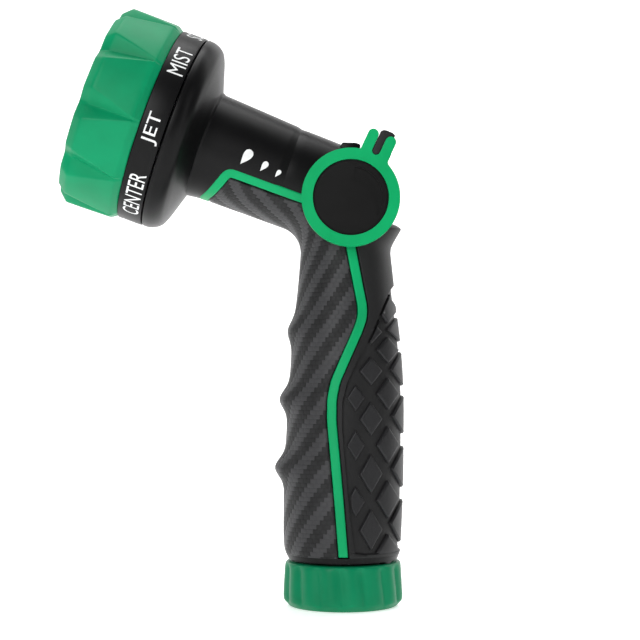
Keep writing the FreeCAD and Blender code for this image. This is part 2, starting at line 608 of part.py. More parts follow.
def dial_grip():
    """The ribbed ring round the head: wedge-shaped valleys leave flat-topped lobes."""
    body = turned([(CORE_R, BEZEL_FRONT_D), (31.8, BEZEL_FRONT_D), (32.2, 69.3), (DIAL_R, 71.3), (33.3, 86.0),
                   (30.2, DIAL_FRONT_D), (27.8, DIAL_FRONT_D), (27.8, FACE_FRONT_D), (CORE_R, FACE_FRONT_D)])
    low = [Vec(33.4, 0, 70.5), Vec(38.0, 9.1, 70.5), Vec(38.0, -9.1, 70.5)]
    high = [Vec(30.9, 0, 90.0), Vec(38.0, 14.0, 90.0), Vec(38.0, -14.0, 90.0)]
    wires = [Part.makePolygon(corners + [corners[0]]) for corners in (low, high)]
    valley = Part.makeLoft(wires, True, True)
    for cutter in around(valley, DIAL_LOBES, VALLEY_PHASE):
        body = body.cut(cutter)
    return body


def spray_face():
    """Nozzle plate: each eighth of it has the outlets of one pattern."""
    face = ring(CORE_R, WELL_R, CORE_FRONT_D, FACE_FRONT_D)
    face = face.fuse([rod(2.6, FACE_FRONT_D - 1, FACE_FRONT_D + 0.8, 19.0)])
    outlets = [rod(1.3, 80, 90, 19.0)]
    for r in (13.0, 17.0, 21.0, 25.0):
        for spread in (-10.0, 0.0, 10.0) if r > 14 else (0.0,):
            outlets.append(turn_to(rod(0.6, 80, 90, r), 45 + spread))
    outlets.append(turn_to(Part.makeBox(14.0, 1.1, 10.0, Vec(12.0, -0.55, 80)), 90))
    outlets.append(turn_to(ring(21.0, 20.0, 80, 90).common(slab_sector(15)), 135))
    outlets += [turn_to(rod(1.0, 80, 90, r), 180 + spread) for r, spread in ((14.0, 0), (21.5, -9), (21.5, 9))]
    outlets += [turn_to(rod(2.1, 80, 90, r), 225) for r in (14.5, 20.5)]
    outlets += [turn_to(rod(0.8, 80, 90, 24.5), 270 + spread) for spread in (-14, -7, 0, 7, 14)]
    outlets += [turn_to(rod(0.9, 80, 90, 12.0), 315 + spread) for spread in (-12, 12)]
    outlets += [turn_to(rod(0.9, 80, 90, 16.0), 315 + spread) for spread in (-10, 10)]
    for outlet in outlets:
        face = face.cut(outlet)
    return face.removeSplitter()


def turn_to(shape, angle):
    copy = shape.copy()
    copy.rotate(Vec(0, 0, 0), Vec(0, 0, 1), angle)
    return copy


def slab_sector(half_angle):
    corners = [Vec(0, 0, 79), Vec(40 * cos_deg(half_angle), -40 * sin_deg(half_angle), 79),
               Vec(40 * cos_deg(half_angle), 40 * sin_deg(half_angle), 79)]
    return Part.Face(Part.makePolygon(corners + [corners[0]])).extrude(Vec(0, 0, 12))


def build_turret():
    save("turret_core", to_head(turret_core()))
    save("pattern_bezel", to_head(pattern_bezel()))
    save("dial_grip", to_head(dial_grip()))
    save("spray_face", to_head(spray_face()))
    cap = turned([(0, 85.0), (WELL_R, 85.0), (WELL_R, FACE_FRONT_D), (8.8, FACE_FRONT_D), (8.6, 87.5), (7.8, 87.9),
                  (0, 88.2)])
    save("center_cap", to_head(cap))


build_body()
build_hose_end()
build_valve()
build_lever()
build_fixed_head()
build_turret()
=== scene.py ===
import json
import math
import bpy
import bmesh
from mathutils import Matrix, Vector


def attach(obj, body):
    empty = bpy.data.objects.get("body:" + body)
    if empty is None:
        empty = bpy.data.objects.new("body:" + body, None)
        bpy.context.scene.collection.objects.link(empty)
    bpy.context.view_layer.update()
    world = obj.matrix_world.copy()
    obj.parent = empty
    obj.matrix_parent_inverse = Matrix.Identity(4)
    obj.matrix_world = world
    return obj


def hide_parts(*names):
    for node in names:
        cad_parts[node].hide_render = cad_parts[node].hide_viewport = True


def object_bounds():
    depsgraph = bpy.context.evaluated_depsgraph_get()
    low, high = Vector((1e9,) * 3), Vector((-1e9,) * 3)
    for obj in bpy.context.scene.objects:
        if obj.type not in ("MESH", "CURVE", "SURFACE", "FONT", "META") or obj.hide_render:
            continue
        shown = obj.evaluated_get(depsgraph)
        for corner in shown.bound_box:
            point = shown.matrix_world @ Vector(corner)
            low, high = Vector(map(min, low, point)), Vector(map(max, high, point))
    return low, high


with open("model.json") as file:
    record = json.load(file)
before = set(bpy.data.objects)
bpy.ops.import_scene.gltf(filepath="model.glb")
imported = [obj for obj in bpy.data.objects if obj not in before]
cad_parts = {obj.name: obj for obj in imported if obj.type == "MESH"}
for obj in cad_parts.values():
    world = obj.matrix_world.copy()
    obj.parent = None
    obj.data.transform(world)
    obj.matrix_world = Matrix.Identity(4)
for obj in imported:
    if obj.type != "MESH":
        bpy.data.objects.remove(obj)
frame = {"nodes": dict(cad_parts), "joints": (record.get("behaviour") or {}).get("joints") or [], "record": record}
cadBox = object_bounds()
mm = 0.001
print("frame loaded")

# places taken from the frame: the valve's axis, the spray axis and the head's tilt
joints = {joint["name"]: joint for joint in frame["joints"]}
valveAxis = Vector(joints["lever_swing"]["pos_m"])
sprayAxis = Vector(joints["dial_turn"]["axis"]).normalized()
riseAxis = Vector((sprayAxis.z, 0, -sprayAxis.x))
headLift = 1.5  # the head's axis passes this far above the valve, mm
headTurn = Matrix((riseAxis, Vector((0, 1, 0)), sprayAxis)).transposed().to_4x4()


def headMatrix(lift=headLift):
    return Matrix.Translation(valveAxis / mm + riseAxis * lift) @ headTurn


def headPoint(d, h):
    return valveAxis / mm + sprayAxis * d + riseAxis * h


def radians(angle):
    return math.radians(angle)


# shader building
class Wire:
    # one socket of a shader tree; arithmetic on it adds Math nodes
    def __init__(self, board, socket):
        self.board, self.socket = board, socket

    def math(self, operation, *others):
        return self.board.node("ShaderNodeMath", {"operation": operation}, [self, *others])

    def __add__(self, other):
        return self.math("ADD", other)

    __radd__ = __add__

    def __mul__(self, other):
        return self.math("MULTIPLY", other)

    __rmul__ = __mul__

    def __sub__(self, other):
        return self.math("SUBTRACT", other)

    def __rsub__(self, other):
        return self.board.node("ShaderNodeMath", {"operation": "SUBTRACT"}, [other, self])

    def __truediv__(self, other):
        return self.math("DIVIDE", other)

    def __pow__(self, other):
        return self.math("POWER", other)

    def __mod__(self, other):
        return self.math("FLOORED_MODULO", other)

    def clamp(self):
        return self.board.node("ShaderNodeClamp", {}, [self, 0.0, 1.0])


class Board:
    # a material and its node tree
    def __init__(self, name):
        self.material = bpy.data.materials.new(name)
        self.material.use_nodes = True
        self.tree = self.material.node_tree
        self.tree.nodes.clear()

    def node(self, kind, settings=None, inputs=None, out=0):
        made = self.tree.nodes.new(kind)
        for key, value in (settings or {}).items():
            setattr(made, key, value)
        pairs = inputs.items() if isinstance(inputs, dict) else enumerate(inputs or [])
        for key, value in pairs:
            if isinstance(value, Wire):
                self.tree.links.new(value.socket, made.inputs[key])
            elif value is not None:
                made.inputs[key].default_value = value
        return Wire(self, made.outputs[out]) if made.outputs else None

    def place(self, uv=False):
        # the pattern's coordinates in millimetres, unrolled ones with uv
        source = self.node("ShaderNodeTexCoord", out=2 if uv else 3)
        return self.node("ShaderNodeMapping", {}, {"Vector": source, "Scale": (1 / mm, 1 / mm, 1 / mm)})

    def noise(self, at, scale, detail=3.0, roughness=0.5, stretch=None):
        if stretch:
            at = self.node("ShaderNodeMapping", {}, {"Vector": at, "Scale": stretch})
        return self.node("ShaderNodeTexNoise", {}, {"Vector": at, "Scale": scale, "Detail": detail,
                                                    "Roughness": roughness})

    def fade(self, value, low, high, start=0.0, end=1.0):
        return self.node("ShaderNodeMapRange", {"interpolation_type": "SMOOTHSTEP"},
                         {"Value": value, "From Min": low, "From Max": high, "To Min": start, "To Max": end})

    def blend(self, share, first, second):
        settings = {"data_type": "RGBA", "blend_type": "MIX"}
        return self.node("ShaderNodeMix", settings, {"Factor": share, 6: first, 7: second}, out=2)

    def bump(self, height, strength, distance):
        return self.node("ShaderNodeBump", {}, {"Height": height, "Strength": strength,
                                                "Distance": distance * mm})

    def finish(self, **sockets):
        names = {"colour": "Base Color", "roughness": "Roughness", "normal": "Normal", "metallic": "Metallic",
                 "sheen": "Sheen Weight", "sheenRoughness": "Sheen Roughness", "specular": "Specular IOR Level",
                 "glow": "Emission Color", "glowStrength": "Emission Strength"}
        surface = self.node("ShaderNodeBsdfPrincipled", {}, {names[k]: v for k, v in sockets.items()})
        self.node("ShaderNodeOutputMaterial", {}, [surface])
        return self.material


def rgb(red, green, blue):
    # screen colour in 0 to 255 to linear light
    def linear(value):
        value /= 255
        return value / 12.92 if value <= 0.04045 else ((value + 0.055) / 1.055) ** 2.4
    return (linear(red), linear(green), linear(blue), 1.0)


def mouldedPlastic(name, low, high, rough, grain=0.05, grainSize=3.2, scuffs=0.25, gloss=0.16):
    # injection-moulded plastic: fine eroded texture, faint flow clouds, handling scuffs
    board = Board(name)
    at = board.place()
    cloud = board.noise(at, 0.045, 4, 0.55)
    fine = board.noise(at, grainSize, 3, 0.65)
    pits = board.noise(at, grainSize * 2.7, 2, 0.5)
    scratch = board.noise(at, 0.55, 5, 0.7, stretch=(1.0, 1.0, 0.12))
    scuff = board.fade(scratch, 0.60, 0.78) * board.fade(cloud, 0.42, 0.66)
    colour = board.blend(board.fade(cloud, 0.3, 0.72), low, high)
    dust = tuple(min(channel * 1.35 + 0.012, 1) for channel in high[:3]) + (1,)
    colour = board.blend(scuff * scuffs, colour, dust)
    colour = board.blend(board.fade(pits, 0.35, 0.75) * 0.18, colour, high)
    roughness = rough + (fine - 0.5) * 0.16 + (cloud - 0.5) * 0.14 + scuff * 0.14
    height = fine * 0.7 + pits * 0.3
    normal = board.bump(height, 0.35, grain)
    return board.finish(colour=colour, roughness=roughness.clamp(), normal=normal, specular=gloss)


def softRubber(name, low, high, rough, grain=0.07, grainSize=2.2):
    # thermoplastic rubber: velvety grain with a little dust in it
    board = Board(name)
    at = board.place()
    cloud = board.noise(at, 0.06, 4, 0.6)
    fine = board.noise(at, grainSize, 4, 0.6)
    speck = board.noise(at, grainSize * 3.1, 2, 0.5)
    wear = board.fade(cloud, 0.52, 0.74)
    colour = board.blend(board.fade(fine, 0.3, 0.7), low, high)
    dusty = tuple(channel * 1.25 + 0.006 for channel in high[:3]) + (1,)
    colour = board.blend(board.fade(speck, 0.62, 0.8) * 0.35 + wear * 0.2, colour, dusty)
    roughness = rough + (fine - 0.5) * 0.18 - wear * 0.07
    normal = board.bump(fine * 0.6 + speck * 0.4, 0.5, grain)
    return board.finish(colour=colour, roughness=roughness.clamp(), normal=normal, specular=0.3, sheen=0.04,
                        sheenRoughness=0.5)


twill = {"cellWide": 2.1, "cellTall": 1.45, "period": 4, "depth": 0.24}


def carbonTwill(name, low, high):
    # moulded weave relief: small pillows in rows, each row shifted one cell, raised in diagonal bands
    board = Board(name)
    at = board.place(uv=True)
    across = board.node("ShaderNodeSeparateXYZ", {}, [at], out=0)
    along = board.node("ShaderNodeSeparateXYZ", {}, [at], out=1)
    row = (along / twill["cellTall"]).math("FLOOR")
    column = across / twill["cellWide"] - row * 0.5
    cellIn = column % 1.0
    cellUp = (along / twill["cellTall"]) % 1.0
    pillow = (cellIn * (1 - cellIn) * 4.0) ** 0.35 * (cellUp * (1 - cellUp) * 4.0) ** 0.35
    raised = board.fade((column.math("FLOOR") % float(twill["period"])) / twill["period"], 0.30, 0.45)
    place = board.place()
    cloud = board.noise(place, 0.06, 4, 0.6)
    patch = board.noise(place, 0.35, 2, 0.5)
    fine = board.noise(place, 3.0, 3, 0.6)
    height = pillow * 0.45 + raised * 0.75 + fine * 0.06
    # the colour is lighter on the raised bands and the middles of the pillows: a painted highlight on the raised
    # weave and painted shade in the grooves between pillows; the clouds and patches add random tone
    tone = (raised * 0.72 + pillow * 0.22 + (cloud - 0.5) * 0.35 + (patch - 0.5) * 0.5).clamp()
    colour = board.blend(tone, low, high)
    roughness = 0.54 - raised * 0.10 + (fine - 0.5) * 0.14 + (cloud - 0.5) * 0.1
    normal = board.bump(height, 0.9, twill["depth"])
    return board.finish(colour=colour, roughness=roughness.clamp(), normal=normal, specular=0.3, sheen=0.04,
                        sheenRoughness=0.5)


def brushedMetal(name, colour, rough):
    board = Board(name)
    at = board.place()
    lines = board.noise(at, 1.4, 5, 0.7, stretch=(1, 1, 9))
    cloud = board.noise(at, 0.3, 3, 0.5)
    tone = board.blend(board.fade(cloud, 0.35, 0.7), colour, tuple(c * 0.8 for c in colour[:3]) + (1,))
    roughness = rough + (lines - 0.5) * 0.2 + (cloud - 0.5) * 0.1
    return board.finish(colour=tone, roughness=roughness.clamp(), normal=board.bump(lines, 0.25, 0.03),
                        metallic=1.0)


def printedInk(name, colour):
    board = Board(name)
    at = board.place()
    grain = board.noise(at, 4.0, 3, 0.6)
    cloud = board.noise(at, 0.5, 3, 0.5)
    shade = tuple(c * 0.86 for c in colour[:3]) + (1,)
    tone = board.blend(board.fade(cloud, 0.35, 0.8), colour, shade)
    return board.finish(colour=tone, roughness=(0.5 + (grain - 0.5) * 0.2).clamp(),
                        normal=board.bump(grain, 0.3, 0.02))


finishes = {
    "blackShell": mouldedPlastic("blackShell", rgb(8, 8, 9), rgb(13, 13, 14), 0.36, grain=0.03),
    "blackBezel": mouldedPlastic("blackBezel", rgb(8, 8, 9), rgb(12, 12, 13), 0.38, grain=0.03),
    "blackCap": mouldedPlastic("blackCap", rgb(10, 10, 10), rgb(14, 14, 14), 0.38, grain=0.03),
    # the carbon grip's lighter colour is the painted highlight on its raised weave
    "carbonGrip": carbonTwill("carbonGrip", rgb(5, 5, 6), rgb(56, 56, 58)),
    "palmRubber": softRubber("palmRubber", rgb(11, 11, 12), rgb(18, 18, 19), 0.50),
    # the pads' rubber is a lighter copy of the palm rubber: a painted highlight on the raised pads
    "palmPads": softRubber("palmPads", rgb(20, 20, 22), rgb(30, 30, 32), 0.46, grain=0.05),
    "barRubber": softRubber("barRubber", rgb(16, 16, 17), rgb(28, 27, 27), 0.55),
    "greenDial": mouldedPlastic("greenDial", rgb(0, 132, 86), rgb(0, 146, 97), 0.42, grainSize=2.4,
                                scuffs=0.12),
    "greenRing": mouldedPlastic("greenRing", rgb(0, 154, 90), rgb(0, 166, 99), 0.34, grain=0.02, scuffs=0.08),
    "greenTrim": mouldedPlastic("greenTrim", rgb(0, 152, 92), rgb(0, 164, 100), 0.42, grain=0.03, scuffs=0.12),
    "greenNut": mouldedPlastic("greenNut", rgb(0, 118, 77), rgb(0, 132, 88), 0.38, grain=0.04, scuffs=0.12),
    "greyFace": mouldedPlastic("greyFace", rgb(30, 31, 33), rgb(40, 41, 43), 0.42),
    "paleInner": mouldedPlastic("paleInner", rgb(150, 152, 155), rgb(168, 170, 172), 0.45),
    "sealRubber": softRubber("sealRubber", rgb(20, 20, 21), rgb(30, 30, 32), 0.6),
    "steel": brushedMetal("steel", rgb(200, 200, 204), 0.32),
    "whiteInk": printedInk("whiteInk", rgb(238, 240, 240)),
}
print("materials made:", len(finishes))


# mesh helpers
def smoothRead(table, place):
    # smooth reading of a table of stations at a place between them
    last = len(table) - 1
    index = max(i for i in range(last) if table[i][0] <= place or i == 0)
    low, high = table[index], table[index + 1]
    span = high[0] - low[0]
    share = min(max((place - low[0]) / span, 0.0), 1.0)
    values = []
    for column in range(1, len(low)):
        slopes = []
        for i in (index, index + 1):
            before, after = table[max(i - 1, 0)], table[min(i + 1, last)]
            slopes.append((after[column] - before[column]) / (after[0] - before[0]) * span)
        ease = share * share * (3 - 2 * share)
        lead = share * (1 - share) * ((1 - share) * slopes[0] - share * slopes[1])
        values.append(low[column] + (high[column] - low[column]) * ease + lead)
    return values


def makePiece(name, bm, finish, body, replaces=(), sharp=32, weld=True, recalc=True):
    # bmesh in millimetres to a finished object in metres
    if weld:
        bmesh.ops.remove_doubles(bm, verts=bm.verts, dist=0.004)
    if recalc:
        bmesh.ops.recalc_face_normals(bm, faces=bm.faces)
    bmesh.ops.scale(bm, vec=(mm, mm, mm), verts=bm.verts)
    for face in bm.faces:
        face.smooth = True
    for edge in bm.edges:
        edge.smooth = not (len(edge.link_faces) == 2 and edge.calc_face_angle(0) > radians(sharp))
    mesh = bpy.data.meshes.new(name)
    bm.to_mesh(mesh)
    bm.free()
    mesh.materials.append(finishes[finish])
    piece = bpy.data.objects.new(name, mesh)
    bpy.context.scene.collection.objects.link(piece)
    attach(piece, body)
    if replaces:
        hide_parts(*replaces)
    return piece


def vertsOf(geom):
    return [item for item in geom if isinstance(item, bmesh.types.BMVert)]


def edgesOf(geom):
    return [item for item in geom if isinstance(item, bmesh.types.BMEdge)]


def onHead(bm, lift=headLift):
    # carries a body made about Z to the spray axis
    bmesh.ops.transform(bm, matrix=headMatrix(lift), verts=bm.verts)
    return bm


def bevelSharp(bm, width, segments=2, angle=30):
    # rounds every edge that turns more than the angle
    sharpEdges = [e for e in bm.edges if len(e.link_faces) == 2 and e.calc_face_angle(0) > radians(angle)]
    bmesh.ops.bevel(bm, geom=sharpEdges, offset=width, segments=segments, affect="EDGES", profile=0.5,
                    material=-1, clamp_overlap=True)


def lathe(profile, steps=128):
    # closed body of revolution about Z from (radius, height) points; ends on the axis where radius is 0
    bm = bmesh.new()
    verts = [bm.verts.new((r, 0, z)) for r, z in profile]
    edges = [bm.edges.new(pair) for pair in zip(verts, verts[1:])]
    if profile[0][0] > 0 and profile[-1][0] > 0:
        edges.append(bm.edges.new((verts[-1], verts[0])))
    bmesh.ops.spin(bm, geom=verts + edges, cent=(0, 0, 0), axis=(0, 0, 1), angle=2 * math.pi, steps=steps,
                   use_merge=True, use_duplicate=False)
    bmesh.ops.remove_doubles(bm, verts=bm.verts, dist=0.004)
    return bm


def rounded(points, radius, segments=3):
    # softens the inner corners of an open profile with short arcs
    result = [points[0]]
    for before, corner, after in zip(points, points[1:], points[2:]):
        here, back, ahead = Vector(corner), Vector(before), Vector(after)
        reach = min(radius, (back - here).length * 0.45, (ahead - here).length * 0.45)
        start, end = here + (back - here).normalized() * reach, here + (ahead - here).normalized() * reach
        for step in range(segments + 1):
            t = step / segments
            point = start * (1 - t) ** 2 + here * 2 * t * (1 - t) + end * t * t
            result.append((point.x, point.y))
    result.append(points[-1])
    return result


def outlinePrism(points, low, high):
    # a flat outline in X and Z, given thickness in Y
    bm = bmesh.new()
    verts = [bm.verts.new((x, low, z)) for x, z in points]
    face = bm.faces.new(verts)
    lifted = bmesh.ops.extrude_face_region(bm, geom=[face], use_keep_orig=True)
    bmesh.ops.translate(bm, vec=(0, high - low, 0), verts=vertsOf(lifted["geom"]))
    bmesh.ops.recalc_face_normals(bm, faces=bm.faces)
    return bm


def mirrorAcross(bm):
    # the same mesh on the other side of the middle plane, facing outwards
    bmesh.ops.scale(bm, vec=(1, -1, 1), verts=bm.verts)
    bmesh.ops.recalc_face_normals(bm, faces=bm.faces)
    return bm


def mappedGrid(columns, rows, place, surface=None):
    # a flat grid bent into shape: place(i, j) gives each corner, surface(i, j) its unrolled position
    bm = bmesh.new()
    bmesh.ops.create_grid(bm, x_segments=columns, y_segments=rows, size=1.0)

    def index(vert):
        return round((vert.co.x + 1) / 2 * columns), round((vert.co.y + 1) / 2 * rows)
    if surface:
        unrolled = bm.loops.layers.uv.new("surface")
        for face in bm.faces:
            for loop in face.loops:
                across, along = surface(*index(loop.vert))
                loop[unrolled].uv = (across * mm, along * mm)
    spots = [(vert, place(*index(vert))) for vert in bm.verts]
    for vert, spot in spots:
        vert.co = spot
    bmesh.ops.remove_doubles(bm, verts=bm.verts, dist=0.004)
    return bm


def closeHoles(bm):
    bmesh.ops.holes_fill(bm, edges=[e for e in bm.edges if e.is_boundary], sides=0)
    return bm


def joined(parts):
    whole = bmesh.new()
    for part in parts:
        mesh = bpy.data.meshes.new("part")
        part.to_mesh(mesh)
        part.free()
        whole.from_mesh(mesh)
        bpy.data.meshes.remove(mesh)
    return whole


def padded(columns, rows, place, wall, surface=None):
    # a bent sheet whose edges turn down, closed by a back sheet at their foot;
    # place(i, j, least) takes the least drop
    face = mappedGrid(columns, rows, lambda i, j: place(i, j, 0.0), surface)
    back = mappedGrid(columns, rows, lambda i, j: place(i, j, wall), surface)
    whole = joined([face, back])
    bmesh.ops.remove_doubles(whole, verts=whole.verts, dist=0.004)
    return closeHoles(whole)


def steps(first, last, count):
    return [first + (last - first) * i / count for i in range(count + 1)]


def roundShoulder(soft, wall):
    # up a wall and over its rounded edge, as (inset, drop)
    return [(0.0, wall), (0.0, soft), (0.12 * soft, 0.52 * soft), (0.42 * soft, 0.16 * soft), (soft, 0.0)]


def edgedSteps(count, soft, wall):
    # places across a patch as (share, inset, drop): a shoulder, the face, and back down
    shoulder = roundShoulder(soft, wall)
    first = [(0.0, inset, drop) for inset, drop in shoulder]
    middle = [(k / count, 0.0, 0.0) for k in range(1, count)]
    return first + middle + [(1.0, -inset, drop) for inset, drop in reversed(shoulder)]


# the hand grip's form: rings down the neck, round the elbow and along the handle
form = {
    "neck": [(2.0, -15.5, 15.9, 15.6), (24.0, -15.5, 17.0, 16.3), (34.0, -15.5, 17.6, 16.6),
             (46.0, -15.7, 18.3, 17.0), (51.5, -16.4, 18.6, 17.4)],     # d, underside, top, half width
    "elbowAt": (-22.4, 114.14), "elbowRadius": 8.75,
    "elbow": [(0.0, 37.7, 15.7), (14.0, 39.0, 15.9), (28.0, 43.4, 16.1),
              (42.0, 43.0, 16.2), (56.0, 39.5, 16.2), (70.0, 40.8, 16.2)],   # direction, reach, half width
    "handle": [(15.2, -17.6, 17.5, 17.2), (18.0, -18.8, 18.5, 17.9), (22.0, -19.2, 18.9, 18.0),
               (33.0, -19.2, 19.4, 17.7), (44.7, -18.9, 19.7, 17.3), (56.0, -18.3, 19.8, 16.9),
               (66.8, -17.7, 19.8, 16.5), (78.0, -16.9, 19.3, 16.1), (88.9, -16.2, 18.3, 15.8),
               (97.0, -15.2, 17.2, 15.6), (105.5, -14.3, 16.25, 15.5), (114.1, -13.65, 15.3, 15.6)],
    "webRest": [(114.1, 15.3, 15.6), (116.0, 15.6, 15.5), (118.6, 16.9, 15.0), (121.0, 18.3, 14.2),
                (121.9, 18.7, 13.8), (122.5, 18.2, 13.5), (123.3, 16.7, 13.2), (123.9, 14.8, 12.8)],
    "bumps": [(88.9, 1.7), (66.8, 2.8), (44.7, 3.1)], "bumpSpread": 3.9,
}


def ring(kind, value):
    # front and back of a ring in the middle plane, its half width and how far its front stands out
    if kind == "neck":
        low, high, half = smoothRead(form["neck"], value)
        return headPoint(value, low), headPoint(value, high), half, 0.0
    if kind == "elbow":
        reach, half = smoothRead(form["elbow"], value)
        ray = Vector((math.cos(radians(value)), 0, math.sin(radians(value))))
        corner = Vector((form["elbowAt"][0], 0, form["elbowAt"][1]))
        return corner + ray * form["elbowRadius"], corner + ray * reach, half, 0.0
    front, back, half = smoothRead(form["handle"], min(value, 114.1))
    if value > 114.1:
        back, half = smoothRead(form["webRest"], value)
    bump = sum(size * math.exp(-((value - at) / form["bumpSpread"]) ** 2) for at, size in form["bumps"])
    return Vector((front, 0, value)), Vector((back, 0, value)), half, bump


def ringPoint(kind, value, turn, lift=0.0):
    # turn 0 is the front, a half turn the back; a negative turn is the near side
    front, back, half, bump = ring(kind, value)
    centre, reach = (front + back) / 2, (front - back).length / 2
    ahead = (front - back).normalized()
    out = (reach + lift) * math.cos(turn) + bump * max(math.cos(turn), 0.0) ** 4
    return centre + ahead * out + Vector((0, (half + lift) * math.sin(turn), 0))


def turnAtX(z, x):
    # the turn at which the handle's surface has this x
    front, back, half, bump = ring("handle", z)
    centre, reach = (front.x + back.x) / 2, (back.x - front.x) / 2
    return math.acos(min(max((centre - x) / reach, -1.0), 1.0))


def turnAtH(d, h):
    low, high, half = smoothRead(form["neck"], d)
    return math.acos(min(max(((low + high) / 2 - h) / ((high - low) / 2), -1.0), 1.0))


trims = {"width": 3.0, "gap": 0.3, "neckLevel": -5.4, "cornerD": 38.9, "underD": 44.6, "footZ": 17.4,
         "neckRadius": 16.6, "underW": -4.6}   # neckRadius unrolls the neck, underW is the strip's place below
trimPath = [(17.4, -0.1), (33.0, -1.35), (48.2, -2.7), (60.5, -3.85), (67.4, -3.75), (72.9, -2.65),
            (80.0, 0.45), (89.4, 4.7), (93.2, 6.0), (96.7, 6.1), (103.5, 4.7),
            (115.0, 2.45), (124.0, 0.9)]   # z, x
recessPath = [(18.6, 3.6), (30.0, 2.0), (48.0, 0.4), (58.0, -0.4), (66.0, -0.4), (72.5, 1.2), (79.0, 4.2),
              (89.0, 9.4), (97.5, 13.0), (101.6, 14.9), (104.5, 17.2)]   # z, x


def pathRead(path, z):
    for low, high in zip(path, path[1:]):
        if z <= high[0] or high is path[-1]:
            share = min(max((z - low[0]) / (high[0] - low[0]), 0.0), 1.0)
            return low[1] + (high[1] - low[1]) * share


def softPath(path, z, spread=1.3):
    # the path with its corners eased
    marks = (-1.0, -0.5, 0.0, 0.5, 1.0)
    return sum(pathRead(path, z + mark * spread) for mark in marks) / len(marks)


def neckTrimCentre():
    # the neck trim's centre line, unrolled: d along the neck and w round it, near side first
    side = [(d, turnAtH(d, trims["neckLevel"]) * -trims["neckRadius"])
            for d in steps(4.0, trims["cornerD"] - 2.0, 22)]
    cornerW = side[-1][1]
    under = trims["underW"]
    diagonal = [(trims["cornerD"] + 0.2, cornerW + 0.6), (trims["cornerD"] + 0.9, cornerW + 1.6)]
    low = (trims["underD"] - 0.3, under)
    line = side + [(trims["cornerD"] - 0.7, cornerW + 0.1)] + diagonal
    (bendD, bendW) = diagonal[-1]
    for share in (0.2, 0.4, 0.6, 0.8):
        line.append((bendD + (low[0] - bendD) * share, bendW + (under - bendW) * share))
    line += [low, (trims["underD"], under + 1.5), (trims["underD"] + 0.1, -1.5)]
    return line + [(d, -w) for d, w in reversed(line)]


def refine(line, times=2):
    # rounds a line by cutting its corners
    for _ in range(times):
        finer = [line[0]]
        for (ax, ay), (bx, by) in zip(line, line[1:]):
            finer += [(ax * near + bx * (1 - near), ay * near + by * (1 - near)) for near in (0.75, 0.25)]
        line = finer + [line[-1]]
    return line


def sideways(line, index, amount):
    before, after = line[max(index - 1, 0)], line[min(index + 1, len(line) - 1)]
    dx, dy = after[0] - before[0], after[1] - before[1]
    length = math.hypot(dx, dy)
    return line[index][0] - dy / length * amount, line[index][1] + dx / length * amount


neckLine = refine(neckTrimCentre(), 1)


def gripEndD(turn):
    # where the finger grip stops on the neck, at each turn
    near = -abs(turn) * trims["neckRadius"]
    corner = turnAtH(36.0, trims["neckLevel"]) * -trims["neckRadius"]
    share = min(max((near - trims["underW"]) / (corner - trims["underW"]), 0.0), 1.0)
    return trims["underD"] - 1.75 + (trims["cornerD"] - trims["underD"] + 0.4) * share


# moulded body: the core under the grips, and the neck's bare upper side
body = {"coreLift": -1.5, "around": 96, "footZ": 15.2}


def coreLift(kind, value, turn):
    if kind == "neck":
        covered = abs(turn) < turnAtH(value, trims["neckLevel"]) and value < gripEndD(turn) + 1.8
        return body["coreLift"] if covered else 0.0
    if kind == "elbow":
        return body["coreLift"]
    return 0.1 if value < 17.1 else body["coreLift"]


def buildCore():
    rows = [("neck", d) for d in steps(51.5, 24.0, 34)] + [("elbow", a) for a in steps(70.0, 0.0, 28)]
    rows += [("handle", z) for z in steps(112.0, 17.2, 95) + [17.05, 16.4, 15.8, 15.45, 15.25, body["footZ"]]]
    count = body["around"]

    def place(i, j):
        turn = -math.pi + 2 * math.pi * i / count
        kind, value = rows[j]
        tuck = -0.35 if value == body["footZ"] and kind == "handle" else 0.0
        return ringPoint(kind, value, turn, coreLift(kind, value, turn) + tuck)
    return closeHoles(mappedGrid(count, len(rows) - 1, place))


makePiece("mouldedCore", buildCore(), "blackShell", "handle_body", ["body_shell"])

bowl = {"rimD": 60.55, "radius": 31.8}
bowlProfile = [(0, 49.5), (17.2, 49.5), (17.5, 50.6), (27.3, 53.75), (29.7, 54.8), (31.1, 56.6), (31.75, 58.6),
               (bowl["radius"], 60.25), (31.5, bowl["rimD"]), (28.7, bowl["rimD"]), (28.6, 57.4), (0, 57.2)]
bowlShell = onHead(lathe(rounded(bowlProfile, 1.3, 4), 144))
makePiece("bowlShell", bowlShell, "blackShell", "handle_body", sharp=40)

hood = {"start": 2.7, "lift": 0.8}
hoodProfile = [(0, hood["start"]), (15.4, hood["start"]), (15.85, 20.0), (15.6, 26.0), (0, 26.0)]
hoodShell = onHead(lathe(rounded(hoodProfile, 0.9, 4), 96), hood["lift"])
makePiece("neckHood", hoodShell, "blackShell", "handle_body", sharp=40)

stopOutline = [(9.5, 14.0), (8.6, 16.7), (4.6, 18.05), (3.2, 18.05), (2.8, 17.6), (2.7, 14.0)]
stop = outlinePrism([(headPoint(d, h).x, headPoint(d, h).z) for d, h in stopOutline], -6.0, 6.0)
bevelSharp(stop, 0.45, 3, 25)
makePiece("leverStop", stop, "blackShell", "handle_body")


def aboutValve(bm):
    # carries a body of revolution about Z to the valve's axis, its Z running along Y
    turn = Matrix.Translation(valveAxis / mm) @ Matrix.Rotation(radians(-90), 4, "X")
    bmesh.ops.transform(bm, matrix=turn, verts=bm.verts)
    return bm


barrel = {"radius": 14.75, "half": 16.85}
barrelProfile = [(0, -barrel["half"]), (barrel["radius"], -barrel["half"]), (barrel["radius"], barrel["half"]),
                 (0, barrel["half"])]
makePiece("valveBarrel", aboutValve(lathe(rounded(barrelProfile, 0.7, 4))), "blackShell", "handle_body")
print("moulded body made")


# finger grip: a woven relief over the front of the handle and under the neck
grip = {"soft": 0.55, "wall": 1.4, "columns": 60, "footZ": 17.0}


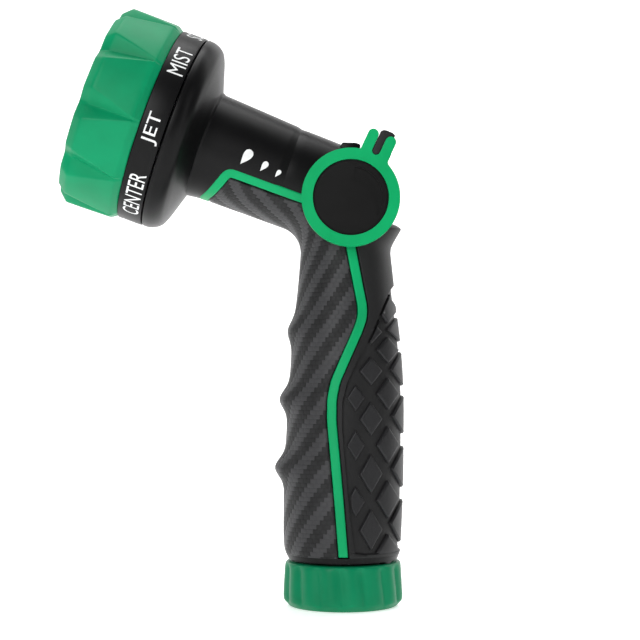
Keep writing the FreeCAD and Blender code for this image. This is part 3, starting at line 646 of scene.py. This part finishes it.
def gripEdgeTurn(kind, value):
    clear = trims["width"] / 2 + trims["gap"]
    if kind == "neck":
        return turnAtH(value, trims["neckLevel"] - clear)
    if kind == "elbow":
        share = value / 70.0
        return turnAtH(24.0, trims["neckLevel"] - clear) * share + turnAtX(114.0, 2.6 - clear) * (1 - share)
    return turnAtX(value, softPath(trimPath, value) - clear)


def buildFingerGrip():
    soft, wall = grip["soft"], grip["wall"]
    shoulder = roundShoulder(soft, wall)
    neckEnd = 42.85
    rows = [("neck", neckEnd - inset, drop) for inset, drop in shoulder]
    rows += [("neck", d, 0.0) for d in steps(neckEnd - 1.3, 18.5, 26)]
    rows += [("elbow", a, 0.0) for a in steps(67.0, 1.0, 34)]
    rows += [("handle", z, 0.0) for z in steps(113.4, grip["footZ"] + 1.2, 150)]
    rows += [("handle", grip["footZ"] + inset * 0.3, drop * 0.3) for inset, drop in reversed(shoulder[1:])]
    rows.append(("handle", grip["footZ"], wall))
    across = edgedSteps(grip["columns"], soft, wall)
    lengths, travelled = [], 0.0
    before = None
    for kind, value, drop in rows:
        here = ringPoint(kind, value, 0.9)
        travelled += (here - before).length if before else 0.0
        before = here
        lengths.append(travelled)

    def turnAt(i, j):
        kind, value, drop = rows[j]
        edge = gripEdgeTurn(kind, min(value, 38.0) if kind == "neck" else value)
        share, inset, _ = across[i]
        return -edge + 2 * edge * share + inset / 16.5

    def place(i, j, least):
        kind, value, drop = rows[j]
        turn = turnAt(i, j)
        if kind == "neck" and value > 30.0:
            value = 30.0 + (value - 30.0) * (gripEndD(turn) - 30.0) / (neckEnd - 30.0)
        return ringPoint(kind, value, turn, 0.12 - max(drop, across[i][2], least))

    def surface(i, j):
        return turnAt(i, j) * 17.0, lengths[j]
    return padded(len(across) - 1, len(rows) - 1, place, wall, surface)


makePiece("fingerGrip", buildFingerGrip(), "carbonGrip", "handle_body", ["front_grip"],
          sharp=50)
print("finger grip made")


# green inlay strips
def buildHandleTrim(side):
    soft, wall = 0.4, 1.4
    heights = steps(trims["footZ"], 123.0, 150)
    ends = edgedSteps(2, soft, wall)
    across = edgedSteps(4, soft, wall)
    rows = [(heights[0] + inset, drop) for share, inset, drop in ends if share == 0.0]
    rows += [(z, 0.0) for z in heights[1:]]

    def place(i, j, least):
        z, drop = rows[j]
        share, inset, sideDrop = across[i]
        slope = (softPath(trimPath, z + 0.5) - softPath(trimPath, z - 0.5))
        half = trims["width"] / 2 * math.sqrt(1 + slope * slope)
        x = softPath(trimPath, z) - half + 2 * half * share + inset
        return ringPoint("handle", z, turnAtX(z, x) * side, 0.05 - max(drop, sideDrop, least))
    return padded(len(across) - 1, len(rows) - 1, place, wall)


for side, word in ((-1, "near"), (1, "far")):
    makePiece(word + "HandleTrim", buildHandleTrim(side), "greenTrim", "handle_body",
              [word + "_handle_trim"], sharp=50)


def buildNeckTrim():
    wall = 1.4
    across = edgedSteps(4, 0.4, wall)
    half = trims["width"] / 2

    def place(i, j, least):
        share, inset, drop = across[i]
        d, w = sideways(neckLine, j, -half + 2 * half * share + inset)
        return ringPoint("neck", d, w / trims["neckRadius"], 0.1 - max(drop, least))
    return padded(len(across) - 1, len(neckLine) - 1, place, wall)


makePiece("neckTrim", buildNeckTrim(), "greenTrim", "handle_body", ["neck_trim"], sharp=50)
print("trims made")


# printed motif on each side of the neck: a big drop and two small ones
drops = {"leanAngle": -20.0, "plump": 0.72, "each": [(35.5, 6.2, 2.9), (29.2, 5.4, 1.9), (24.3, 4.8, 1.4)]}
# each drop: d, level above the trim, size


def buildDrops(side):
    parts = []
    lean = radians(drops["leanAngle"])
    for d, level, size in drops["each"]:
        bm = bmesh.new()
        centre = turnAtH(d, trims["neckLevel"] + level) * trims["neckRadius"]
        outline = [(size * math.sin(a) * math.sin(a / 2) ** 1.6 * drops["plump"], -size * math.cos(a))
                   for a in steps(0, 2 * math.pi, 48)[:-1]]
        bm.faces.new([bm.verts.new((x, y, 0)) for x, y in outline])
        bmesh.ops.triangulate(bm, faces=bm.faces[:])
        bmesh.ops.subdivide_edges(bm, edges=bm.edges[:], cuts=2)
        for vert in bm.verts:
            x = vert.co.x * math.cos(lean) - vert.co.y * math.sin(lean)
            y = vert.co.x * math.sin(lean) + vert.co.y * math.cos(lean)
            vert.co = ringPoint("neck", d - x, (centre + y) / trims["neckRadius"] * side, 0.03)
        parts.append(bm)
    return joined(parts)


for side, word in ((-1, "near"), (1, "far")):
    motif = buildDrops(side)
    for face in motif.faces:
        if face.normal.y * side < 0:
            face.normal_flip()
    makePiece(word + "Drops", motif, "whiteInk", "handle_body", weld=False, recalc=False)


# palm grip: a smooth saddle and rim, a sunk floor, and diamond pads standing on it
palm = {"soft": 0.5, "wall": 1.4, "floor": -1.05, "padTop": 0.0, "padSoft": 0.6, "padGap": 0.9, "footZ": 17.0}
padColumns = [   # x, half width, then each pad's height and half height
    (14.6, 3.85, ((96.0, 4.7), (82.8, 4.2), (68.9, 5.1), (52.6, 5.9), (35.2, 6.1), (18.6, 5.6))),
    (8.9, 3.75, ((88.6, 3.9), (76.2, 4.5), (61.0, 5.3), (43.6, 6.2), (25.9, 6.5))),
    (3.9, 3.0, ((67.8, 4.2), (52.8, 4.8), (35.0, 4.8)))]
backPads = ((89.3, 3.9), (76.6, 5.5), (61.8, 6.2), (44.9, 6.7), (27.4, 7.0))


def buildPalmRim():
    soft, wall = palm["soft"], palm["wall"]
    across = edgedSteps(20, soft, wall)
    rows = [(palm["footZ"], wall)]
    rows += [(palm["footZ"] + inset * 0.3, drop * 0.3) for inset, drop in roundShoulder(soft, soft)[1:]]
    rows += [(z, 0.0) for z in steps(palm["footZ"] + 1.0, 99.0, 110)]
    rows += [(z, 0.0) for z in steps(99.2, 106.0, 34)] + [(z, 0.0) for z in steps(106.6, 121.0, 26)]
    rows += [(z, 0.0) for z in (121.4, 121.7, 121.9, 122.1, 122.5, 122.9, 123.3, 123.6, 123.9)]

    def place(i, j, least):
        z, drop = rows[j]
        share, inset, sideDrop = across[i]
        clear = trims["width"] / 2 * 1.05 + trims["gap"]
        start = turnAtX(z, softPath(trimPath, z) + clear)
        end = turnAtX(z, softPath(recessPath, z, 0.8)) if z < 105.2 else math.pi
        if z < 18.3:   # the rim closes the recess at its foot
            end = math.pi
        atBack = end > math.pi - 0.001
        if atBack and share == 1.0:
            inset, sideDrop = 0.0, 0.0
        turn = start + (end - start) * share + inset / 17.0
        return ringPoint("handle", z, -min(turn, math.pi), 0.1 - max(drop, sideDrop, least))
    near = padded(len(across) - 1, len(rows) - 1, place, wall)
    bmesh.ops.mirror(near, geom=near.verts[:] + near.edges[:] + near.faces[:], axis="Y", merge_dist=0.01)
    return closeHoles(near)


def buildPalmFloor():
    rows = steps(17.4, 106.0, 120)
    count = 48

    def place(i, j, least):
        start = turnAtX(rows[j], softPath(recessPath, rows[j], 0.8) - 0.6)
        turn = start + (2 * math.pi - 2 * start) * i / count
        return ringPoint("handle", rows[j], -turn, palm["floor"] - least)
    return padded(count, len(rows) - 1, place, 0.3)


def buildPad(z, wide, tall, count, turnOf):
    # the grid's sides run along the diamond's sloping edges; turnOf(off, z) says where it lies on the handle
    across = edgedSteps(count, palm["padSoft"], 1.2)
    edge = math.hypot(wide, tall)

    def place(i, j):
        (shareP, insetP, dropP), (shareQ, insetQ, dropQ) = across[i], across[j]
        p = -1 + 2 * shareP + 2 * insetP / edge
        q = -1 + 2 * shareQ + 2 * insetQ / edge
        pz = z + tall * (p - q) / 2
        return ringPoint("handle", pz, turnOf(wide * (p + q) / 2, pz), palm["padTop"] - max(dropP, dropQ))
    return closeHoles(mappedGrid(len(across) - 1, len(across) - 1, place))


def sideTurn(x, side):
    # a place beside x on one flank, cut by the recess's rim
    return lambda off, z: turnAtX(z, max(x + off, softPath(recessPath, z, 0.8) + palm["padGap"])) * side


def backTurn(off, z):
    turn = turnAtX(z, ring("handle", z)[1].x - abs(off))
    return turn if off > 0 else -turn


makePiece("palmRim", buildPalmRim(), "palmRubber", "handle_body", ["rear_grip"], sharp=50)
makePiece("palmFloor", buildPalmFloor(), "palmRubber", "handle_body")
pads = [buildPad(z, wide, tall, 8, sideTurn(x, side)) for x, wide, heights in padColumns for z, tall in heights
        for side in (-1, 1)]
pads += [buildPad(z, 3.9, tall, 22, backTurn) for z, tall in backPads]
# the pads take the lighter pad rubber, a painted highlight on the raised pads
makePiece("palmPads", joined(pads), "palmPads", "handle_body", sharp=50, weld=False)
print("palm grip made")


# thumb lever: a forked ring on each side, its cover, and the bar across
lever = {"angle": 65.0, "radius": 15.5, "hole": 11.95, "inner": 17.35, "outer": 22.0, "forkTop": 22.6,
         "forkHalf": 4.7, "forkAlong": -1.05, "slotHalf": 1.3, "slotFoot": 15.2}


def leverSpot(out, along):
    # out from the valve's axis and along, towards the head, into x and z
    angle = radians(lever["angle"])
    centre = valveAxis / mm
    x = centre.x + out * math.cos(angle) - along * math.sin(angle)
    return x, centre.z + out * math.sin(angle) + along * math.cos(angle)


def arc(centre, radius, start, end, count):
    return [(centre[0] + radius * math.cos(radians(a)), centre[1] + radius * math.sin(radians(a)))
            for a in steps(start, end, count)]


def forkFillet(side, radius):
    # the small arc that carries a side of the fork into the ring
    level = lever["forkAlong"] + side * (lever["forkHalf"] + radius)
    out = math.sqrt((lever["radius"] + radius) ** 2 - level ** 2)
    return (out, level), math.degrees(math.atan2(-level, -out))


def leverOutline():
    half, slot, top, middle = lever["forkHalf"], lever["slotHalf"], lever["forkTop"], lever["forkAlong"]
    tip, prong = (half - slot) / 2, (half + slot) / 2
    (headCentre, headAngle), (palmCentre, palmAngle) = forkFillet(1, 0.6), forkFillet(-1, 1.8)
    outline = arc((0, 0), lever["radius"], palmAngle - 180, headAngle - 180, 110)
    outline += arc(headCentre, 0.6, headAngle, -90, 6)
    outline += arc((top - tip, middle + prong), tip, 90, -90, 12)
    outline += arc((lever["slotFoot"] + slot, middle), slot, 90, 270, 12)
    outline += arc((top - tip, middle - prong), tip, 90, -90, 12)
    outline += arc(palmCentre, 1.8, 90, palmAngle, 10)
    return [leverSpot(out, along) for out, along in outline[:-1]]


def filledBetween(outer, inner, y):
    # a flat face between two closed outlines
    bm = bmesh.new()
    for outline in (outer, inner):
        verts = [bm.verts.new((x, y, z)) for x, z in outline]
        for pair in zip(verts, verts[1:] + verts[:1]):
            bm.edges.new(pair)
    bmesh.ops.triangle_fill(bm, edges=bm.edges[:], use_beauty=True, use_dissolve=False)
    return bm


def thicken(bm, depth):
    lifted = bmesh.ops.extrude_face_region(bm, geom=bm.faces[:], use_keep_orig=True)
    bmesh.ops.translate(bm, vec=(0, depth, 0), verts=vertsOf(lifted["geom"]))
    bmesh.ops.recalc_face_normals(bm, faces=bm.faces)
    return bm


def circleOutline(radius, count):
    centre = valveAxis / mm
    return arc((centre.x, centre.z), radius, 0, 360, count)[:-1]


def buildLeverRing():
    bm = filledBetween(leverOutline(), circleOutline(lever["hole"], 96), lever["inner"])
    thicken(bm, lever["outer"] - lever["inner"])
    bevelSharp(bm, 0.55, 4, 45)
    return bm


def onSide(bm, side):
    return mirrorAcross(bm) if side < 0 else bm


cover = {"inner": 17.5, "face": 21.0, "rimOuter": 11.88, "rimInner": 11.35, "rimRise": 0.18, "sink": 0.55}
crescentRim = [(82, 9.75), (70, 9.75), (60, 9.8), (50, 9.8), (40, 9.85), (30, 9.9), (20, 9.95), (10, 10.0),
               (0, 10.05), (-10, 10.1), (-20, 10.15), (-28, 10.2), (-34, 10.15)]   # angle, radius
crescentInner = [(-34, 9.8), (-26, 9.15), (-17, 8.45), (-7, 7.75), (3, 7.2), (13, 6.7), (23, 6.3), (33, 5.95),
                 (43, 5.6), (53, 5.45), (62, 5.35), (72, 5.25), (80, 5.2)]


def buildCover():
    centre = valveAxis / mm
    crescent = [(centre.x + r * math.cos(radians(a)), centre.z + r * math.sin(radians(a)))
                for a, r in crescentRim + crescentInner]
    bm = filledBetween(circleOutline(cover["rimInner"], 96), crescent, cover["face"])
    walls = [e for e in bm.edges if e.is_boundary]
    hub = Vector((centre.x, cover["face"], centre.z))
    rim = [e for e in walls if max((v.co - hub).length for v in e.verts) > cover["rimInner"] - 0.1]
    pocket = [e for e in walls if e not in rim]
    sunk = bmesh.ops.extrude_edge_only(bm, edges=pocket)["geom"]
    bmesh.ops.translate(bm, vec=(0, -cover["sink"], 0), verts=vertsOf(sunk))
    bmesh.ops.contextual_create(bm, geom=[e for e in edgesOf(sunk) if e.is_boundary])
    for rise, radius in ((0.0, 11.4), (cover["rimRise"], 11.5), (cover["rimRise"], 11.78),
                         (0.05, cover["rimOuter"]), (cover["inner"] - cover["face"], cover["rimOuter"])):
        grown = bmesh.ops.extrude_edge_only(bm, edges=rim)["geom"]
        rim = [e for e in edgesOf(grown) if e.is_boundary]
        for vert in vertsOf(grown):
            flat = Vector((vert.co.x - centre.x, 0, vert.co.z - centre.z)).normalized() * radius
            vert.co = Vector((centre.x + flat.x, cover["face"] + rise, centre.z + flat.z))
    closeHoles(bm)
    bmesh.ops.recalc_face_normals(bm, faces=bm.faces)
    return bm


for side, word in ((-1, "near"), (1, "far")):
    makePiece(word + "LeverRing", onSide(buildLeverRing(), side), "greenRing", "thumb_lever",
              [word + "_lever_disc"], sharp=40)
    makePiece(word + "LeverCover", onSide(buildCover(), side), "blackCap", "thumb_lever",
              [word + "_lever_cap"], sharp=35)


def buildThumbBar():
    half, middle = lever["slotHalf"] - 0.06, lever["forkAlong"]
    foot = arc((lever["slotFoot"] + half + 0.1, middle), half, 90, 270, 10)
    head = [(20.9, middle - half), (21.7, middle - half - 0.25), (22.3, middle - 3.0), (22.9, middle - 3.5),
            (23.5, middle - 3.3), (23.75, middle - 2.4), (23.75, middle - 0.5), (23.45, middle + 0.6),
            (22.7, middle + half)]
    reach = lever["outer"] - 0.15
    ends = outlinePrism([leverSpot(out, along) for out, along in foot + head], -reach, reach)
    bevelSharp(ends, 0.35, 3, 50)
    ribs = [(level + rise, middle - half - stand) for level in steps(16.4, 20.8, 5)
            for rise, stand in ((0.0, -0.05), (0.15, 0.36), (0.42, 0.36), (0.57, -0.05))]
    outline = [(15.9, middle + half - 0.3), (15.9, middle - half + 0.05)] + ribs
    outline += [(21.9, middle - half), (21.9, middle + half - 0.3)]
    pad = outlinePrism([leverSpot(out, along) for out, along in outline], -14.5, 14.5)
    bevelSharp(pad, 0.1, 2, 50)
    return joined([ends, pad])


makePiece("thumbBar", buildThumbBar(), "barRubber", "thumb_lever", ["thumb_bar"], sharp=40,
          weld=False)
print("thumb lever made")


# turning head
dial = {"lobes": 10, "phase": 13.0, "valleyHalf": 8.8, "valleyDeep": 3.7, "valleyFrom": 69.4,
        "valleyFull": 86.2, "facet": 0.45}
dialProfile = [(29.35, 68.95), (31.7, 68.95), (31.95, 69.05), (32.15, 69.3), (32.6, 69.95), (33.1, 70.65),
               (33.42, 71.15), (33.5, 71.5)]
dialProfile += [(33.5 - 0.2 * t, 71.5 + 14.6 * t) for t in steps(0.1, 1.0, 12)]
dialProfile += [(33.1, 86.5), (32.4, 87.3), (31.6, 88.15), (30.95, 88.85), (30.6, 89.15), (30.2, 89.3),
                (28.3, 89.3), (27.95, 89.15), (27.85, 88.8), (27.85, 87.2), (29.3, 87.1), (29.35, 80.0)]


def buildDialGrip():
    marks = [0.0, 0.10, 0.25, 0.5, 0.75, 0.9, 1.0, 1.1, 1.25]
    nodes = []
    for lobe in range(dial["lobes"]):
        nodes += [(lobe, -1, m) for m in reversed(marks[1:])] + [(lobe, 1, m) for m in marks]
        nodes += [(lobe, 0, share) for share in (0.2, 0.4, 0.6, 0.8)]
    nodes.append((dial["lobes"], -1, marks[-1]))
    pitch = 360.0 / dial["lobes"]

    def place(i, j):
        lobe, hand, mark = nodes[i]
        radius, d = dialProfile[j]
        share = min(max((d - dial["valleyFrom"]) / (dial["valleyFull"] - dial["valleyFrom"]), 0.0), 1.0)
        deep = dial["valleyDeep"] * share
        if d > dial["valleyFull"]:
            deep -= (d - dial["valleyFull"]) * 0.42
        half = max(dial["valleyHalf"] * share, 1.2)
        angle = hand * mark * half if hand else 1.25 * half + (pitch - 2.5 * half) * mark
        across = angle if hand else angle - pitch
        s = min(abs(angle), abs(across)) / half
        v = 1 - math.sqrt(s * s + 0.006)
        cut = deep * (v + math.sqrt(v * v + 0.003)) / 2
        if radius < 30.0 or j < 2:
            cut = 0.0
        middle = abs(abs(angle if angle > -pitch / 2 else angle) - pitch / 2)
        plateau = pitch / 2 - half
        flat = 0.0
        if s > 1.0 and radius > 30.0 and j >= 2:
            flat = dial["facet"] * radius * (1 - math.cos(radians(plateau))) * (1 - (middle / plateau) ** 2)
        turn = radians(dial["phase"] + lobe * pitch + angle)
        return Vector(((radius - cut - flat) * math.cos(turn), (radius - cut - flat) * math.sin(turn), d))
    bm = mappedGrid(len(nodes) - 1, len(dialProfile) - 1, place)
    closeRing(bm)
    return bm


def closeRing(bm):
    # joins the two open rims of a tube that has been turned in on itself
    bmesh.ops.bridge_loops(bm, edges=[e for e in bm.edges if e.is_boundary])
    bmesh.ops.recalc_face_normals(bm, faces=bm.faces)


makePiece("dialGrip", onHead(buildDialGrip()), "greenDial", "turret", ["dial_grip"], sharp=38)

bezel = {"radius": 31.85, "rear": 60.95, "front": 68.88}
bezelProfile = [(29.3, bezel["rear"]), (bezel["radius"], bezel["rear"]), (bezel["radius"], bezel["front"]),
                (29.3, bezel["front"])]
bezelShell = onHead(lathe(rounded([(29.35, 64)] + bezelProfile + [(29.35, 64.1)], 0.4, 3), 144))
makePiece("patternBezel", bezelShell, "blackBezel", "turret", ["pattern_bezel"], sharp=40)

labels = {"words": {"SOAKER": 18.0, "MIST": 12.0, "JET": 10.0, "CENTER": 19.5, "FLAT": 12.0, "CONE": 12.5,
                    "SHOWER": 19.5, "FULL": 12.0}, "first": 5.8, "height": 5.3, "base": 61.75, "thick": 0.05}


def buildLabel(word, length, angle):
    # a printed word wrapped round the bezel; angle runs down the near side from the top
    text = bpy.data.curves.new(word, "FONT")
    text.body, text.align_x, text.size, text.resolution_u = word, "CENTER", 1.0, 6
    holder = bpy.data.objects.new(word, text)
    bpy.context.scene.collection.objects.link(holder)
    bpy.context.view_layer.update()
    mesh = bpy.data.meshes.new_from_object(holder)
    bpy.data.objects.remove(holder)
    bm = bmesh.new()
    bm.from_mesh(mesh)
    bpy.data.meshes.remove(mesh)
    left, right = min(v.co.x for v in bm.verts), max(v.co.x for v in bm.verts)
    low, top = (pick(v.co.y for v in bm.verts) for pick in (min, max))
    for _ in range(2):
        bmesh.ops.subdivide_edges(bm, edges=[e for e in bm.edges if e.calc_length() > 0.18], cuts=1)
    bmesh.ops.triangulate(bm, faces=bm.faces[:])
    radius = bezel["radius"] + labels["thick"]
    for vert in bm.verts:
        across = ((vert.co.x - left) / (right - left) - 0.5) * length
        up = (vert.co.y - low) / (top - low) * labels["height"]
        turn = -(radians(angle) - across / radius)
        vert.co = Vector((radius * math.cos(turn), radius * math.sin(turn), labels["base"] + up))
    return onHead(bm)


for index, (word, length) in enumerate(labels["words"].items()):
    letters = buildLabel(word, length, labels["first"] + 45.0 * index)
    axisPoint = headPoint(0, headLift)
    for face in letters.faces:
        centre = face.calc_center_median() - axisPoint
        if face.normal.dot(centre - sprayAxis * centre.dot(sprayAxis)) < 0:
            face.normal_flip()
    makePiece("label_" + word.lower(), letters, "whiteInk", "turret", weld=False,
              recalc=False)
print("turning head made")


# hose coupling: a fluted nut with the thread inside
nut = {"flutes": 16, "depth": 1.0, "lean": 0.0056, "pitch": 2.21, "turns": 2.6}
nutProfile = [(13.25, 0.35), (13.6, 0.05), (16.9, 0.0), (17.3, 0.08), (17.7, 0.35), (18.7, 1.45), (19.1, 1.85),
              (19.35, 2.25), (19.5, 2.9), (19.55, 4.2), (19.45, 6.0), (19.35, 7.8), (19.2, 9.6), (19.1, 11.2),
              (19.0, 12.4), (18.9, 13.2), (18.75, 13.75), (18.5, 14.15), (18.1, 14.4), (17.6, 14.48),
              (10.9, 14.48), (10.75, 14.3), (10.75, 12.95), (12.65, 12.85), (12.72, 8.7), (13.25, 8.6)]


def buildNut():
    count = nut["flutes"] * 14

    def place(i, j):
        radius, z = nutProfile[j]
        turn = 2 * math.pi * i / count
        wave = 0.5 - 0.5 * math.cos(nut["flutes"] * (turn + nut["lean"] * z))
        ends = min(max((z - 1.2) / 1.6, 0.0), 1.0) * min(max((14.2 - z) / 1.4, 0.0), 1.0)
        if radius > 17.0:
            radius -= nut["depth"] * (1 - wave ** 0.45) * ends
        return Vector((radius * math.cos(turn), radius * math.sin(turn), z))
    bm = mappedGrid(count, len(nutProfile) - 1, place)
    closeRing(bm)
    return bm


def buildThread():
    bm = bmesh.new()
    ridge = ((13.35, 1.15), (12.45, 1.95), (12.45, 2.2), (13.35, 3.0))   # radius, z
    corners = [bm.verts.new((radius, 0, z)) for radius, z in ridge]
    edges = [bm.edges.new(pair) for pair in zip(corners, corners[1:])]
    perTurn = 72
    bmesh.ops.spin(bm, geom=corners + edges, cent=(0, 0, 0), axis=(0, 0, 1),
                   dvec=(0, 0, nut["pitch"] / perTurn), angle=2 * math.pi * nut["turns"],
                   steps=int(nut["turns"] * perTurn), use_merge=False, use_duplicate=False)
    closeHoles(bm)
    return bm


makePiece("couplingNut", buildNut(), "greenNut", "coupling", ["coupling_nut"], sharp=38)
makePiece("hoseThread", buildThread(), "greenNut", "coupling", sharp=30)
print("coupling made")


# the frame's own pieces: inner parts and the spray face keep their shape and get a finish
slotFinish = {
    "body_plastic": "blackShell", "grip_rubber": "carbonGrip", "palm_rubber": "palmRubber",
    "green_trim": "greenTrim", "dial_rubber": "greenDial", "bezel_plastic": "blackBezel",
    "face_plastic": "greyFace", "cap_plastic": "blackCap", "lever_plastic": "greenRing",
    "bar_rubber": "barRubber", "nut_plastic": "greenNut", "washer_rubber": "sealRubber",
    "seal_rubber": "sealRubber", "inner_plastic": "paleInner", "plug_plastic": "paleInner",
    "screw_steel": "steel", "spring_steel": "steel",
}
slotOf = {part["node"]: part["material_slot"] for part in frame["record"]["subparts"]}
for name, node in frame["nodes"].items():
    node.data.materials.clear()
    node.data.materials.append(finishes[slotFinish[slotOf[name]]])
print("frame pieces finished")


# studio: pale floor that sweeps up behind, soft lights, camera
studio = {"halfWide": 1.6, "front": -1.4, "back": 0.9, "sweep": 0.5, "tall": 1.8}


def buildSweep():
    bm = bmesh.new()
    profile = [(studio["front"], 0.0), (studio["back"], 0.0)]
    profile += [(studio["back"] + studio["sweep"] * math.sin(a), studio["sweep"] * (1 - math.cos(a)))
                for a in steps(0.1, math.pi / 2, 14)]
    profile.append((studio["back"] + studio["sweep"], studio["tall"]))
    verts = [bm.verts.new((-studio["halfWide"], y, z)) for y, z in profile]
    edges = [bm.edges.new(pair) for pair in zip(verts, verts[1:])]
    grown = bmesh.ops.extrude_edge_only(bm, edges=edges)["geom"]
    bmesh.ops.translate(bm, vec=(2 * studio["halfWide"], 0, 0), verts=vertsOf(grown))
    bmesh.ops.recalc_face_normals(bm, faces=bm.faces)
    if bm.faces[0].normal.z < 0:
        bmesh.ops.reverse_faces(bm, faces=bm.faces)
    mesh = bpy.data.meshes.new("paperSweep")
    for face in bm.faces:
        face.smooth = True
    bm.to_mesh(mesh)
    bm.free()
    return mesh


def paperFinish():
    board = Board("whitePaper")
    at = board.place()
    grain = board.noise(at, 0.02, 3, 0.5)
    colour = board.blend(board.fade(grain, 0.3, 0.7), (0.90, 0.90, 0.90, 1), (0.93, 0.93, 0.93, 1))
    return board.finish(colour=colour, roughness=0.30 + (grain - 0.5) * 0.08, specular=0.4,
                        glow=(1.0, 1.0, 1.0, 1.0), glowStrength=0.55)


paper = bpy.data.objects.new("paperSweep", buildSweep())
paper.data.materials.append(paperFinish())
bpy.context.scene.collection.objects.link(paper)


def softLight(name, spot, aim, wide, tall, watts):
    lamp = bpy.data.lights.new(name, "AREA")
    lamp.shape, lamp.size, lamp.size_y, lamp.energy = "RECTANGLE", wide, tall, watts
    holder = bpy.data.objects.new(name, lamp)
    holder.location = spot
    holder.rotation_euler = (Vector(aim) - Vector(spot)).to_track_quat("-Z", "Y").to_euler()
    bpy.context.scene.collection.objects.link(holder)


middle = (cadBox[0] + cadBox[1]) / 2
softLight("keySoftbox", (-0.30, -0.75, 0.42), middle, 0.40, 0.5, 3.9)
softLight("fillSoftbox", (0.55, -0.55, 0.30), middle, 0.25, 0.6, 0.6)
softLight("topSoftbox", (-0.05, 0.05, 0.80), middle, 0.5, 0.4, 2.6)
softLight("rimSoftbox", (0.55, 0.30, 0.35), middle, 0.25, 0.7, 1.2)
softLight("leftEdgeSoftbox", (-0.65, 0.15, 0.25), middle, 0.25, 0.7, 1.0)
softLight("backdropLight", (0.0, 0.45, 1.2), (0, 1.3, 0.1), 2.2, 0.5, 12.0)


def buildRoom(strength):
    # a dim room for the light and the gloss, seen as white by the camera itself
    world = bpy.data.worlds.new("paleRoom")
    world.use_nodes = True
    tree = world.node_tree
    tree.nodes.clear()
    dim, pale = (tree.nodes.new("ShaderNodeBackground") for _ in range(2))
    for background, level in ((dim, strength), (pale, 1.0)):
        background.inputs["Color"].default_value = (1, 1, 1, 1)
        background.inputs["Strength"].default_value = level
    path = tree.nodes.new("ShaderNodeLightPath")
    mix = tree.nodes.new("ShaderNodeMixShader")
    out = tree.nodes.new("ShaderNodeOutputWorld")
    tree.links.new(path.outputs["Is Camera Ray"], mix.inputs[0])
    tree.links.new(dim.outputs[0], mix.inputs[1])
    tree.links.new(pale.outputs[0], mix.inputs[2])
    tree.links.new(mix.outputs[0], out.inputs["Surface"])
    return world


bpy.context.scene.world = buildRoom(0.05)

view = {"x": -7.475, "distance": 610.0, "height": 92.46, "across": 208.0, "sensor": 36.0}
camera = bpy.data.cameras.new("camera")
camera.sensor_width = view["sensor"]
camera.lens = view["sensor"] * view["distance"] / view["across"]
camera.clip_start, camera.clip_end = 0.01, 20
holder = bpy.data.objects.new("camera", camera)
holder.location = (view["x"] * mm, -view["distance"] * mm, view["height"] * mm)
holder.rotation_euler = (radians(90), 0, 0)
bpy.context.scene.collection.objects.link(holder)
bpy.context.scene.camera = holder
bpy.context.scene.view_settings.view_transform = "Standard"  # pure whites and full greens

bpy.context.view_layer.update()
print("scene ready")
